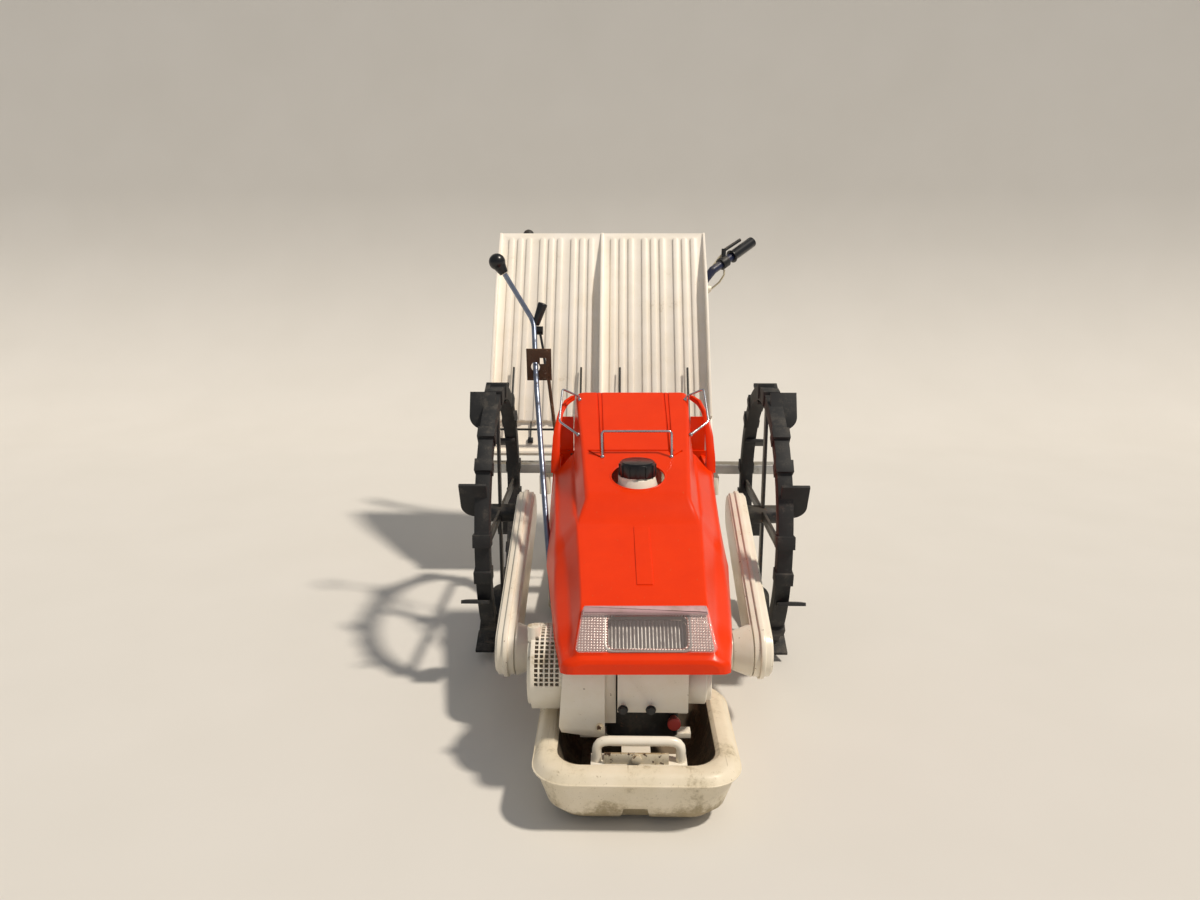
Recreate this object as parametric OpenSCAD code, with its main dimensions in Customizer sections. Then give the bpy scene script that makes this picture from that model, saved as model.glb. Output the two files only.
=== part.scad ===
// Walk-behind rice transplanter for two rows
// Front is -Y, up is +Z, and X runs across the machine.
// Places along the machine are measured from the wheel axle and then moved by axle_y.

/* [Overall] */
// Distance from the wheel axle to the front of the float
front_reach = 765; // [745:5:790]
// Distance from the wheel axle to the ends of the handle grips
rear_reach = 935; // [920:5:960]

/* [Wheels] */
// Radius of the middle of the rubber ring
ring_r = 280; // [274:2:284]
// Thickness of the rubber ring
ring_t = 30; // [26:1:34]
// Distance from the middle plane to the middle of each ring
half_track = 304; // [302:1:312]
// Height of the small teeth above the ring
tooth_h = 7; // [4:1:9]
// Length of a tooth round the ring
tooth_l = 26; // [18:1:32]
// Width of a tooth across the ring
tooth_w = 36; // [32:1:44]
// Length of a fin plate along its slant
fin_l = 80; // [70:2:84]
// Thickness of a fin plate
fin_t = 7; // [5:1:10]
// How far a fin reaches past the middle of the ring on the outside
fin_out = 45; // [35:1:50]
// How far a fin reaches past the middle of the ring on the inside
fin_in = 10; // [8:1:14]
// Share of a fin that stands outside the ring
fin_share = 0.6; // [0.5:0.05:0.65]
// Width of a flat spoke
spoke_w = 24; // [18:1:30]
// Thickness of a flat spoke
spoke_t = 6; // [4:1:8]
// Radius of the wheel hub tube
hub_r = 21; // [18:1:26]
// Length of the wheel hub tube
hub_l = 70; // [60:2:76]
// Radius of the wheel axle
axle_r = 11; // [8:1:14]

/* [Wheel arms] */
// Distance from the wheel axle forward to the swing pivot
pivot_back = 398; // [390:2:404]
// Height of the swing pivot
pivot_z = 150; // [144:2:156]
// Radius of the rounded ends of the chain case
case_r = 49; // [44:1:52]
// Thickness of the chain case
case_t = 40; // [34:1:44]
// Distance from the middle plane to the middle of the chain case
case_x = 243; // [240:1:246]
// How far the seam flange stands out round the case
seam_out = 5; // [3:1:7]
// Thickness of the seam flange
seam_t = 9; // [6:1:12]
// Radius of the swing shaft
pivot_r = 15; // [12:1:18]
// Radius of the dome beside the swing pivot
dome_r = 41; // [36:1:42]

/* [Float] */
// Half width of the float at the front
float_half_w = 166; // [160:1:172]
// Length of the tub round the engine
tub_l = 325; // [315:5:328]
// Height of the seam round the float
float_seam_z = 96; // [90:1:98]
// Height of the rolled rim
rim_z = 110; // [108:1:114]
// Width of the rolled rim
rim_w = 36; // [32:1:42]
// Thickness of the float's floor
float_floor = 24; // [18:1:30]
// Height of the float behind the tub
tail_z = 70; // [60:1:80]
// Half width of the float behind the planting place
tail_half_w = 205; // [195:1:212]
// Distance between the two planted rows
row_pitch = 300; // [290:2:310]

/* [Hood] */
// Thickness of the moulded hood
hood_wall = 3; // [2:0.5:4]
// Angle that the hood sits askew
hood_yaw = 1.2; // [0:0.2:2]
// Radius of the fuel cap
cap_r = 35; // [30:1:38]
// Height of the fuel cap
cap_h = 28; // [22:1:32]
// Thickness of the guard wires
guard_d = 5; // [4:0.5:7]

/* [Seedling tray] */
// Width of the tray
tray_w = 610; // [600:5:620]
// Length of the tray along its slope
tray_l = 700; // [680:5:720]
// Slope of the tray
tray_slope = 56.7; // [54:0.3:60]
// Height of the tray's lower lip
lip_z = 352; // [348:1:356]
// Distance from the wheel axle back to the tray's lower lip
lip_back = 378; // [374:1:384]
// Thickness of the tray's floor
tray_t = 6; // [4:0.5:8]
// Height of the tray's side walls
wall_h = 42; // [34:1:48]
// Thickness of the tray's side walls
wall_t = 7; // [5:0.5:9]
// Where the tray stands along its travel
tray_shift = -80; // [-80:5:80]
// Height of the ribs on the tray
rib_h = 5; // [3:0.5:7]

/* [Rail] */
// Length of the feed rail
rail_l = 826; // [810:2:840]
// Depth of the feed rail, front to back
rail_d = 46; // [40:1:50]
// Height of the feed rail
rail_h = 24; // [20:1:28]

/* [Planting] */
// Radius of the planting crank
crank_r = 45; // [38:1:50]
// Length of the planting arm
arm_l = 190; // [180:2:196]
// Distance from the wheel axle back to the crank shaft
crank_back = 216; // [212:1:220]
// Height of the crank shaft
crank_z = 262; // [256:1:266]

/* [Handles] */
// Diameter of the handle tubes
handle_d = 25; // [22:1:28]
// Half width over the ends of the grips
grip_half_w = 402; // [390:2:408]
// Height of the ends of the grips
grip_z = 915; // [900:5:925]

/* [Hidden] */

$fn = 48;
cream = [0.86, 0.82, 0.72];
orange = [0.95, 0.25, 0.08];
black = [0.10, 0.10, 0.11];
steel = [0.62, 0.62, 0.64];
rust = [0.40, 0.28, 0.20];
rubber = [0.13, 0.13, 0.14];

axle_y = (front_reach - rear_reach) / 2;

// The ring's teeth and fins stand on equal steps, three steps from fin to fin
fin_count = 8;
step = 360 / fin_count / 3;
tooth_r = ring_r + ring_t / 2 + tooth_h;
tooth_turn = atan(tooth_l / 2 / tooth_r);
foot_r = norm([tooth_r, tooth_l / 2]);
fin_top = fin_l * fin_share;
tip_up = ring_r + (fin_top + fin_t / 2) * cos(45);
tip_along = (fin_top - fin_t / 2) * sin(45);
tip_r = norm([tip_up, tip_along]);
tip_turn = atan(tip_along / tip_up);
// The wheel stands on the tip of one fin and on a tooth two steps before it
stance = 2 * step - tip_turn - tooth_turn;
tip_rest = atan((tip_r - foot_r * cos(stance)) / (foot_r * sin(stance)));
fin_phase = tip_rest + tip_turn;
hub_z = tip_r * cos(tip_rest);

run_fit = 0.05;
seat = 0.3;
pivot_y = -pivot_back;
tub_back = tub_l - front_reach;
case_len = sqrt(pivot_back * pivot_back + (hub_z - pivot_z) * (hub_z - pivot_z));
case_tilt = atan2(hub_z - pivot_z, pivot_back);
case_out = case_x + case_t / 2;
case_in = case_x - case_t / 2;
hub_in = half_track - hub_l / 2;
dome_in = case_in - 34;

rail_y = lip_back - 26;
rail_top = lip_z - 22;

// Carries children from the axle's own place to the machine's frame
module at_axle() {
    translate([0, axle_y, 0]) children();
}

// Puts children on the hood, which sits a little askew
module on_hood() {
    at_axle() rotate([0, 0, hood_yaw]) children();
}

// Makes a left and a right copy
module both_sides() {
    for (side = [-1, 1]) mirror([side < 0 ? 1 : 0, 0, 0]) children();
}

// Left or right copy alone
module one_side(side) {
    mirror([side < 0 ? 1 : 0, 0, 0]) children();
}

// Carries children to the point a, with Z turned along d
module along(a, d) {
    translate(a) rotate([0, atan2(norm([d[0], d[1]]), d[2]), atan2(d[1], d[0])]) children();
}

// Straight round bar between two points
module bar(a, b, r, sides = 24) {
    along(a, b - a) cylinder(h = norm(b - a), r = r, $fn = sides);
}

// Direction of a route at one of its points
function heading(path, i) = let (a = path[max(i - 1, 0)], b = path[min(i + 1, len(path) - 1)])
    (b - a) / norm(b - a);

// Points of a short curve that rounds the corner b between a and c
function corner(a, b, c, reach, n = 4) = let (
    p = b + (a - b) / norm(a - b) * min(reach, norm(a - b) / 2.2),
    q = b + (c - b) / norm(c - b) * min(reach, norm(c - b) / 2.2)
) [for (i = [0 : n]) let (t = i / n) p * (1 - t) * (1 - t) + b * 2 * t * (1 - t) + q * t * t];

// Route whose corners are rounded
function eased(path, reach) = concat([path[0]],
    [for (i = [1 : 1 : len(path) - 2]) each corner(path[i - 1], path[i], path[i + 1], reach)],
    [path[len(path) - 1]]);

// Tube of round section swept along a route; across is never along the route
module swept_tube(path, r, sides = 8, across = [1, 0, 0]) {
    skin([for (i = [0 : len(path) - 1]) let (
        d = heading(path, i),
        u = cross(d, across) / norm(cross(d, across)),
        v = cross(d, u)
    ) [for (k = [0 : sides - 1]) path[i] + r * (u * cos(360 * k / sides) + v * sin(360 * k / sides))]]);
}

// Bent round bar with eased corners
module bent_bar(path, r, reach = 18, sides = 12, across = [1, 0, 0]) {
    swept_tube(eased(path, reach), r, sides, across);
}

// Round bar in straight lengths with a ball at each joint
module jointed_bar(path, r, sides = 24) {
    for (i = [0 : len(path) - 2]) bar(path[i], path[i + 1], r, sides);
    for (i = [1 : 1 : len(path) - 2]) translate(path[i]) sphere(r = r + 0.4, $fn = sides);
}

// Bar along X
module cross_bar(x0, x1, y, z, r) {
    translate([x0, y, z]) rotate([0, 90, 0]) cylinder(h = x1 - x0, r = r);
}

// Block from its lowest corner to its highest corner
module block(low, high) {
    translate(low) cube(high - low);
}

// Block with round vertical edges
module round_block(low, high, r) {
    size = high - low;
    translate([low[0] + r, low[1] + r, low[2]]) {
        linear_extrude(size[2]) {
            translate([-r, 0]) square([size[0], size[1] - 2 * r]);
            translate([0, -r]) square([size[0] - 2 * r, size[1]]);
            for (x = [0, size[0] - 2 * r], y = [0, size[1] - 2 * r]) translate([x, y]) circle(r);
        }
    }
}

// Closed skin through rings of points that all have the same count
module skin(rings) {
    n = len(rings[0]);
    last = (len(rings) - 1) * n;
    sides = [for (i = [0 : len(rings) - 2], j = [0 : n - 1])
        let (a = i * n + j, b = i * n + (j + 1) % n) each [[a, a + n, b + n], [a, b + n, b]]];
    low_cap = [for (j = [0 : n - 1]) j];
    high_cap = [for (j = [n - 1 : -1 : 0]) last + j];
    polyhedron([for (ring = rings) each ring], concat([low_cap], sides, [high_cap]));
}

// Ring of a rectangle with round corners at one height, going round once
function round_ring(x0, x1, y0, y1, r, z, n = 6) = [
    for (c = [[x1 - r, y1 - r, 0], [x0 + r, y1 - r, 90], [x0 + r, y0 + r, 180], [x1 - r, y0 + r, 270]],
        i = [0 : n]) [c[0] + r * cos(c[2] + 90 * i / n), c[1] + r * sin(c[2] + 90 * i / n), z]];

// Long oval in the YZ plane from the pivot to the axle, grown by g and extruded from x0 to x1
module case_oval(r, x0, x1) {
    translate([x0, pivot_y, pivot_z]) rotate([case_tilt, 0, 0]) rotate([90, 0, 90])
        linear_extrude(x1 - x0) {
            circle(r, $fn = 96);
            translate([case_len, 0]) circle(r, $fn = 96);
            translate([0, -r + 0.1]) square([case_len, 2 * r - 0.2]);
        }
}

// Blow-moulded float: a tub round the engine, a narrow waist and a wide tail
module float() {
    // Height and inset of each ring of the tub's outer wall
    seam_lip = 2;
    tub_rings = [[0, 74], [4, 58], [14, 38], [34, 20], [float_seam_z - 26, 9], [float_seam_z - 9, 5],
        [float_seam_z - 6, 2], [float_seam_z - 3, -seam_lip], [float_seam_z, -seam_lip],
        [float_seam_z + 3, 1], [rim_z - 6, 4], [rim_z - 2, 9], [rim_z, 15]];
    // Height and inset of each ring of the tub's inside
    well_rings = [[float_floor, 72], [float_floor + 30, 48], [rim_z - 18, 39], [rim_z - 5, rim_w],
        [rim_z + 1, rim_w - 8]];
    tail_rings = [[0, 22], [8, 8], [25, 0], [tail_z - 12, 0], [tail_z - 3, 4], [tail_z, 12]];
    round_r = 62;
    tail_y0 = 80;
    tail_y1 = 470;
    claw_gap = 66;
    color(cream) at_axle() difference() {
        union() {
            skin([for (k = tub_rings) round_ring(-float_half_w + k[1], float_half_w - k[1],
                -front_reach + seam_lip + k[1], tub_back - k[1], round_r - k[1] / 2, k[0])]);
            skin([for (k = tail_rings) round_ring(-100 + k[1], 100 - k[1], tub_back - 60, tail_y0 + 80,
                20, k[0])]);
            skin([for (k = tail_rings) round_ring(-tail_half_w + k[1], tail_half_w - k[1],
                tail_y0 + k[1], tail_y1 - k[1], 40 - k[1] / 2, k[0])]);
        }
        skin([for (k = well_rings) round_ring(-float_half_w + k[1], float_half_w - k[1],
            -front_reach + seam_lip + k[1] * 1.1, tub_back - k[1], round_r - k[1] / 2, k[0])]);
        for (x = [-row_pitch / 2, row_pitch / 2])
            block([x - claw_gap / 2, 250, -1], [x + claw_gap / 2, tail_y1 + 1, tail_z + 1]);
        block([-26, -front_reach - 1, -1], [26, -front_reach + 260, 12]);
    }
}

// Heights of the engine bed, which hangs inside the float's tub
bed_z = 88;
bed_t = 9;
bed_top = bed_z + bed_t;
bridge_z = rim_z + 5;
gearbox_front = pivot_y - 36;
gearbox_back = pivot_y + 78;
spine_low = 176;
spine_top = 226;

// Engine bed, the bridge from it over the float's rim to the gearbox, and the spine to the rear
module main_frame() {
    color(cream) at_axle() {
        block([-40, -640, bed_z], [40, -490, bed_top]);
        block([-74, -712, bed_top - 6], [82, -676, bed_top]);
        block([-24, -690, bed_z], [24, -630, bed_top]);
        for (y = [-612, -530]) block([-95, y, bed_z], [95, y + 22, bed_top]);
        block([-60, -497, bed_z], [60, -490, bridge_z + 8]);
        block([-60, -497, bridge_z], [60, gearbox_front, bridge_z + 8]);
        block([-24, gearbox_back, spine_low], [24, crank_back - 50, spine_top]);
        for (y = [-250, -120]) block([-20, y, spine_top - 1], [20, y + 14, tank_z - seat]);
    }
}

// Posts that carry the float: one under the engine bed, one under the spine
module float_links() {
    color(steel) at_axle() {
        block([-20, -640, float_floor + seat], [20, -606, bed_z - seat]);
        both_sides() block([14, 120, tail_z + seat], [20, 150, 150]);
        cross_bar(-28, 28, 135, 138, 6);
        block([-9, 125, 140], [9, 145, spine_low - seat]);
    }
}

// Crankcase with a finned cylinder behind it
module engine_block() {
    color(black) at_axle() {
        round_block([-50, -622, bed_top + seat], [72, -500, 200], 10);
        for (i = [0 : 5]) round_block([-48, -600, 204 + i * 12], [62, -500, 211 + i * 12], 12);
        round_block([-40, -590, 198], [50, -510, 280], 8);
        cross_bar(-fan_in, -49, fan_y, fan_z, 24);
    }
}

// Cream air shroud at the left front of the engine
module engine_shroud() {
    color(cream) at_axle() difference() {
        skin([
            [[-52, -655, 112], [-52, -632, 112], [-124, -632, 122], [-124, -655, 122]],
            [[-52, -662, 130], [-52, -632, 130], [-128, -632, 135], [-128, -660, 135]],
            [[-52, -652, 244], [-52, -632, 244], [-120, -632, 244], [-120, -652, 244]]]);
        block([-117, -645, 124], [-62, -630, 240]);
    }
    color(cream) at_axle() block([-56, -633, 140], [-50 - seat, -604, 195]);
}

// Place and size of the fan housing at the engine's left side
fan_y = -556;
fan_z = 194;
fan_r = 73;
fan_in = 116;
fan_out = 178;

// Round fan cover with rows of square holes round its rim
module recoil_cover() {
    columns = 5;
    rows = 28;
    pitch = 8.9;
    hole = 6;
    turn = 6.2;
    skin_t = 3;
    color(cream) at_axle() difference() {
        union() {
            cross_bar(-fan_out, -fan_in - seat, fan_y, fan_z, fan_r);
            cross_bar(-fan_out - 6, -fan_out + 1, fan_y, fan_z, fan_r - 8);
            translate([-174, fan_y - 24, fan_z + fan_r - 14]) cylinder(h = 26, r = 11);
        }
        cross_bar(-fan_out + 1, -fan_in - 8, fan_y, fan_z, fan_r - skin_t);
        for (c = [0 : columns - 1], k = [0 : rows - 1])
            translate([-fan_out + 7 + c * pitch, fan_y, fan_z]) rotate([k * turn - 78, 0, 0])
                translate([0, -hole / 2, fan_r - 8]) cube([hole, hole, 12]);
    }
}

// Cream plate across the engine's front, with two bolts
module front_plate() {
    color(cream) at_axle() {
        block([-31, -652, 158], [86, -649, 250]);
        for (x = [-22, 24]) translate([x, -652, 168]) rotate([90, 0, 0]) cylinder(h = 4, r = 6);
        for (x = [-30, 60]) block([x, -649, 180], [x + 14, -622.3, 196]);
    }
}

// Muffler drum at the right of the engine
module muffler() {
    color(cream) at_axle() {
        cross_bar(86.3, 118, -592, 190, 42);
        cross_bar(118, 127, -592, 190, 36);
        cross_bar(72.3, 86.3, -592, 190, 16);
    }
}

// Red oil filler cap
module oil_cap() {
    color([0.7, 0.12, 0.12]) at_axle() translate([56, -622.3, 132]) rotate([90, 0, 0]) {
        cylinder(h = 14, r = 6);
        translate([0, 0, 14]) cylinder(h = 9, r = 11);
    }
}

// Bent tube in front of the engine
module bumper_loop() {
    loop_y = -696;
    loop_z = 132;
    color(cream) at_axle() bent_bar([[-64, loop_y, bed_top + seat], [-64, loop_y, loop_z],
        [72, loop_y, loop_z], [72, loop_y, bed_top + seat]], 8, 20, 16, [0, 1, 0.1]);
}

// Plate behind the bumper tube
module bumper_plate() {
    color(cream) at_axle() {
        block([-52, -708, bed_top + seat], [52, -704, 116]);
        block([-52, -708, bed_top + seat], [52, -680, bed_top + 4]);
        translate([0, -708, 107]) rotate([90, 0, 0]) cylinder(h = 5, r = 8);
    }
}

// Cast gear case behind the engine, with a horn to each wheel arm
module transmission_case() {
    color(cream) at_axle() difference() {
        union() {
            round_block([-95, gearbox_front, 98], [95, gearbox_back, 250], 24);
            cross_bar(-dome_in + seat, dome_in - seat, pivot_y, pivot_z, 35);
            both_sides() cross_bar(95, 130, pivot_y, pivot_z, 50);
        }
        cross_bar(-dome_in - 1, dome_in + 1, pivot_y, pivot_z, pivot_r);
    }
}

// Shaft that both wheel arms swing on
module swing_shaft() {
    color(steel) at_axle() cross_bar(-case_x - 6, case_x + 6, pivot_y, pivot_z, pivot_r);
}

// Rows of the hood from front to back. Columns: y, then half width and height of the raised
// top's edge, of its foot, of the shoulder, of the valley, of the flank's rim and of its lower edge
hood_rows = [
    [-687, 92, 262, 97, 261.6, 102, 261, 108, 260, 116, 256, 118, 244],
    [-684, 96, 268, 101, 267.6, 106, 267, 114, 265, 126, 258, 128, 243],
    [-674, 102, 275, 107, 274.6, 112, 274, 122, 268, 137, 260, 138, 242],
    [-640, 100, 306.66, 105, 306.2, 110, 305.6, 121, 279, 142, 267, 143, 248],
    [-616, 96, 329, 101, 328.6, 106, 328, 122, 297, 146, 280, 148, 258],
    [-500, 101, 368, 106, 367.6, 111, 367, 131, 331, 155, 311, 161, 282],
    [-402, 110, 403, 113, 402.6, 117, 402, 142, 361, 158, 345, 171, 297],
    [-386, 112, 408, 115, 407, 119, 406, 146, 368, 159, 355, 173, 299],
    [-350, 99, 443, 117, 410, 124, 408, 152, 374, 160, 370, 177, 302],
    [-110, 118, 543, 128, 470, 134, 468, 162, 434, 172, 430, 184, 316],
    [-109.8, 118, 543.1, 128, 474, 128, 472, 128, 470, 128, 467, 128, 464],
    [-6, 126, 587, 131, 506, 131, 502, 131, 498, 131, 494, 131, 490],
    [0, 124, 585, 130, 504, 130, 500, 130, 496, 130, 492, 130, 488],
];
flank_row = 9;
// Rise of the raised top for each millimetre back
top_slope = (hood_rows[flank_row][2] - hood_rows[flank_row - 1][2]) / (hood_rows[flank_row][0] - hood_rows[flank_row - 1][0]);

// Ring of one hood row, moved inwards by a wall
function hood_ring(k, wall) = let (
    half = [for (i = [1 : 2 : 11]) [k[i] - wall, k[i + 1] - (i < 11 ? wall : wall * 0.7)]]
) concat([for (q = half) [q[0], k[0], q[1]]],
    [for (i = [5 : -1 : 0]) [-half[i][0], k[0], half[i][1]]]);

// Row moved forward, with its top kept on the slope
function moved_row(row, dy) = [for (i = [0 : len(row) - 1])
    i == 0 ? row[0] + dy : (i == 2 ? row[2] + dy * top_slope : row[i])];

cap_y = -290;
cap_x = 2;
hole_half_w = 54;
hole_half_l = 40;
tank_z = 330;
tank_top = 395;
neck_top = 470;

// Orange hood with its raised top, its shoulders and both flanks
module hood() {
    step_y = hood_rows[flank_row][0];
    color(orange) on_hood() difference() {
        skin([for (k = hood_rows) hood_ring(k, 0)]);
        skin(concat([hood_ring(concat([-680.5], [for (i = [1 : 12]) hood_rows[1][i]]), hood_wall)],
            [for (i = [2 : flank_row - 1]) hood_ring(hood_rows[i], hood_wall)],
            [for (i = [flank_row, flank_row + 1]) hood_ring(moved_row(hood_rows[i], -4), hood_wall)],
            [hood_ring(moved_row(hood_rows[flank_row + 2], 1), hood_wall)]));
        block([-121, step_y - 12, 290], [121, step_y + 12, 500]);
        translate([cap_x, cap_y, 400]) linear_extrude(140)
            polygon([for (a = [0 : 10 : 350]) [hole_half_w * cos(a), hole_half_l * sin(a)]]);
    }
}

// Rear flank of the hood with the loop that rises to the hood's rear corner
module cowl(side) {
    rows = [[-109.5, 164, 434, 174, 430, 184, 316], [-20, 160, 446, 176, 438, 182, 330],
        [0, 154, 430, 172, 424, 176, 334]];
    color(orange) on_hood() one_side(side) {
        skin([for (k = rows) [[k[1], k[0], k[2]], [k[3], k[0], k[4]], [k[5], k[0], k[6]],
            [k[5] - hood_wall, k[0], k[6]], [k[3] - hood_wall - 1, k[0], k[4]],
            [k[1] - hood_wall - 1, k[0], k[2]]]]);
        skin([for (p = [[170, -94, 428], [168.5, -90, 466], [167, -64, 508], [160, -42, 546],
            [148, -24, 568], [131.6, -12, 577]])
            [[p[0] - 3.5, p[1] + 9, p[2] - 6], [p[0] - 3.5, p[1] - 9, p[2] + 6],
            [p[0] + 3.5, p[1] - 9, p[2] + 6], [p[0] + 3.5, p[1] + 9, p[2] - 6]]]);
    }
}

lamp_low = [hood_rows[2][0], hood_rows[2][2]];
lamp_high = [hood_rows[4][0], hood_rows[4][2]];
lamp_tilt = atan2(lamp_high[1] - lamp_low[1], lamp_high[0] - lamp_low[0]);
lamp_len = norm(lamp_high - lamp_low);

// Puts children on the hood's sloping lamp place: X across, Y up the slope, Z outwards
module on_lamp_place() {
    on_hood() translate([0, lamp_low[0], lamp_low[1]]) rotate([lamp_tilt, 0, 0]) children();
}

// Silvered box behind the lamp lens
module lamp_reflector() {
    color(steel) on_lamp_place() translate([0, 0, seat]) linear_extrude(3)
        polygon([[-106, 3], [106, 3], [98, lamp_len - 5], [-98, lamp_len - 5]]);
}

// Clear ribbed lens
module lamp_lens() {
    color([0.9, 0.9, 0.92]) on_lamp_place() translate([0, 0, 3 + 2 * seat]) linear_extrude(8)
        polygon([[-114, 0], [114, 0], [102, lamp_len], [-102, lamp_len]]);
}

// Cream fuel tank under the hood, with its neck
module fuel_tank() {
    color(cream) at_axle() {
        round_block([-84, -335, tank_z], [84, -70, tank_top], 24);
        translate([cap_x, cap_y, tank_top - 1]) cylinder(h = 34, r = 50);
        translate([cap_x, cap_y, tank_top + 30]) cylinder(h = neck_top - tank_top - 30, r = 33);
        for (post = [[-184, 508.0], [-90, 547.0]])
            block([-60, post[0], tank_top - 1], [60, post[0] + 12, post[1]]);
    }
}

// Black fuel cap
module fuel_cap() {
    color(black) at_axle() translate([cap_x, cap_y, neck_top + seat]) {
        cylinder(h = cap_h - 3, r = cap_r);
        translate([0, 0, cap_h - 3]) cylinder(h = 3, r = cap_r - 3);
        for (a = [0 : 30 : 330]) rotate([0, 0, a]) translate([cap_r - 1, -3, 0]) cube([3, 6, cap_h - 5]);
    }
}

// Bright wires that guard the hood's rear corners and its middle
module guard_wires() {
    r = guard_d / 2;
    color(steel) on_hood() {
        both_sides() bent_bar([[116, -20, 582.8], [116, -20, 598], [152, -60, 618], [164, -140, 566],
            [140, -182, 508], [117.4, -184, 506]], r, 8, 8, [1, 0, 1]);
        bent_bar([[-80, -262, 481.4], [-80, -250, 528], [68, -250, 528], [68, -262, 481.4]], r, 8, 8, [0, 1, 0]);
    }
}

knob_at = [-306, 100, 865];
lever_bend = [-228, 100, 735];
lever_foot = [-190, -352, 214];

// Long shift lever at the left of the hood
module shift_lever() {
    color(steel) at_axle() bent_bar([[-95 - seat, lever_foot[1], lever_foot[2]], lever_foot, [-204, -60, 430],
        [-216, 0, 620], lever_bend, knob_at + [12, 0, -20]], 6, 20, 12, [0, 1, -1]);
}

// Pear-shaped knob
module shift_knob() {
    tilt = knob_at - lever_bend;
    color(black) at_axle() translate(knob_at) rotate([0, atan2(tilt[0], tilt[2]), 0]) {
        translate([0, 0, 8]) sphere(r = 19);
        translate([0, 0, -22.5]) cylinder(h = 28, r1 = 10, r2 = 17);
    }
}

// Rusty guide plate for the levers
module gate_plate() {
    color(rust) at_axle() {
        difference() {
            translate([-238, 20, 610]) rotate([10, 0, 0]) block([0, 0, 0], [56, 3, 74]);
            translate([-208, -40, 648]) cube([14, 80, 14]);
            translate([-214, -20, 600]) rotate([-41, -6, 0]) cylinder(h = 90, r = 10);
        }
        bar([-190, 24, 616], [-172, 10, 470], 4);
        bar([-172, 10, 474], [-50, -62, 380], 5);
        block([-60, -70 + seat, 368], [-40, -58, 392]);
    }
}

// Short black lever with its cam beside the shift lever
module throttle_lever() {
    color(black) at_axle() {
        bar([-196, 19.8, 640], [-204, 100, 716], 3);
        cross_bar(-214, -192, 100, 722, 14);
        bar([-203, 100, 730], [-196, 104, 786], 11);
    }
}

// Yoke behind the rail that carries the handle tubes and the tray's rest
yoke_back = lip_back + 80;
yoke_top = crank_z - 12;
shaft_r = 10;
rest_r = 9;
rest_at = 520;
rest_foot = [118, yoke_back - 20, yoke_top - 8];
rest_head = [118, lip_back + rest_at * cos(tray_slope) + (rest_r + seat) * sin(tray_slope),
    lip_z + rest_at * sin(tray_slope) - (rest_r + seat) * cos(tray_slope)];

// Vector of length one along v
function unit(v) = v / norm(v);

// Direction of the grips, and the middle of a grip's end with its rim just inside the reach
grip_line = unit([132, 101, 85]);
grip_r = handle_d / 2 + 4;
grip_end = [grip_half_w - grip_r * sqrt(1 - grip_line[0] * grip_line[0]),
    rear_reach - grip_r * sqrt(1 - grip_line[1] * grip_line[1]), grip_z];
handle_path = [[78, yoke_back - 18, yoke_top - 8], [grip_half_w - 262, rear_reach - 215, grip_z - 355],
    [grip_half_w - 192, rear_reach - 135, grip_z - 145],
    grip_end - 187 * grip_line, grip_end - 3 * grip_line];

// Gear case between the planting arms, with its cross tubes
module planting_case() {
    color(cream) at_axle() difference() {
        union() {
            round_block([-46, crank_back - 50, crank_z - 52], [46, crank_back + 52, crank_z + 46], 18);
            cross_bar(-116, 116, crank_back, crank_z, 24);
            block([-24, crank_back + 50, crank_z - 48], [24, yoke_back, crank_z - 8]);
            block([-150, yoke_back - 40, crank_z - 44], [150, yoke_back, yoke_top]);
            both_sides() {
                bar(rest_foot, rest_foot + 38 * unit(rest_head - rest_foot), rest_r + 5);
                bar(handle_path[0], handle_path[0] + 44 * unit(handle_path[1] - handle_path[0]),
                    handle_d / 2 + 5);
            }
        }
        cross_bar(-117, 117, crank_back, crank_z, shaft_r + run_fit);
        both_sides() {
            bar(rest_foot, rest_foot + 60 * unit(rest_head - rest_foot), rest_r + seat);
            bar(handle_path[0], handle_path[0] + 60 * unit(handle_path[1] - handle_path[0]),
                handle_d / 2 + seat);
        }
    }
}

// Aluminium rail that carries the tray's lower lip
module feed_rail() {
    color(steel) at_axle() difference() {
        block([-rail_l / 2, rail_y, rail_top - rail_h], [rail_l / 2, rail_y + rail_d, rail_top]);
        for (x = [-row_pitch / 2, row_pitch / 2])
            block([x - 14, rail_y - 1, rail_top - rail_h - 1], [x + 14, rail_y + 18, rail_top + 1]);
        block([-rail_l / 2 - 1, rail_y + 6, rail_top - rail_h - 1],
            [rail_l / 2 + 1, rail_y + rail_d - 6, rail_top - 6]);
    }
}

// Castings that hold the rail, with a ring-shaped one at the right
module rail_brackets() {
    low = rail_top - rail_h - seat;
    color(cream) at_axle() {
        both_sides() block([34, yoke_back - 36, yoke_top + seat], [52, yoke_back - 6, low]);
        both_sides() block([34, rail_y + 8, low - 12], [240, yoke_back - 24, low]);
        both_sides() round_block([214, rail_y + 2, low - 60], [244, rail_y + 38, low - 11], 10);
    }
}

// Uprights behind the tray with the bar that its back slides on
module tray_rest() {
    color(cream) at_axle() {
        both_sides() bar(rest_foot, rest_head, rest_r);
        cross_bar(-240, 240, rest_head[1], rest_head[2], rest_r);
    }
}

// Handle tubes from the yoke to the ends of the grips
module handle_frame() {
    color([0.12, 0.14, 0.24]) at_axle() {
        both_sides() jointed_bar(handle_path, handle_d / 2);
        cross_bar(-cross_at[0], cross_at[0], cross_at[1], cross_at[2], 9);
    }
}

cross_at = handle_path[1] + 0.6 * (handle_path[2] - handle_path[1]);

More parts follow.
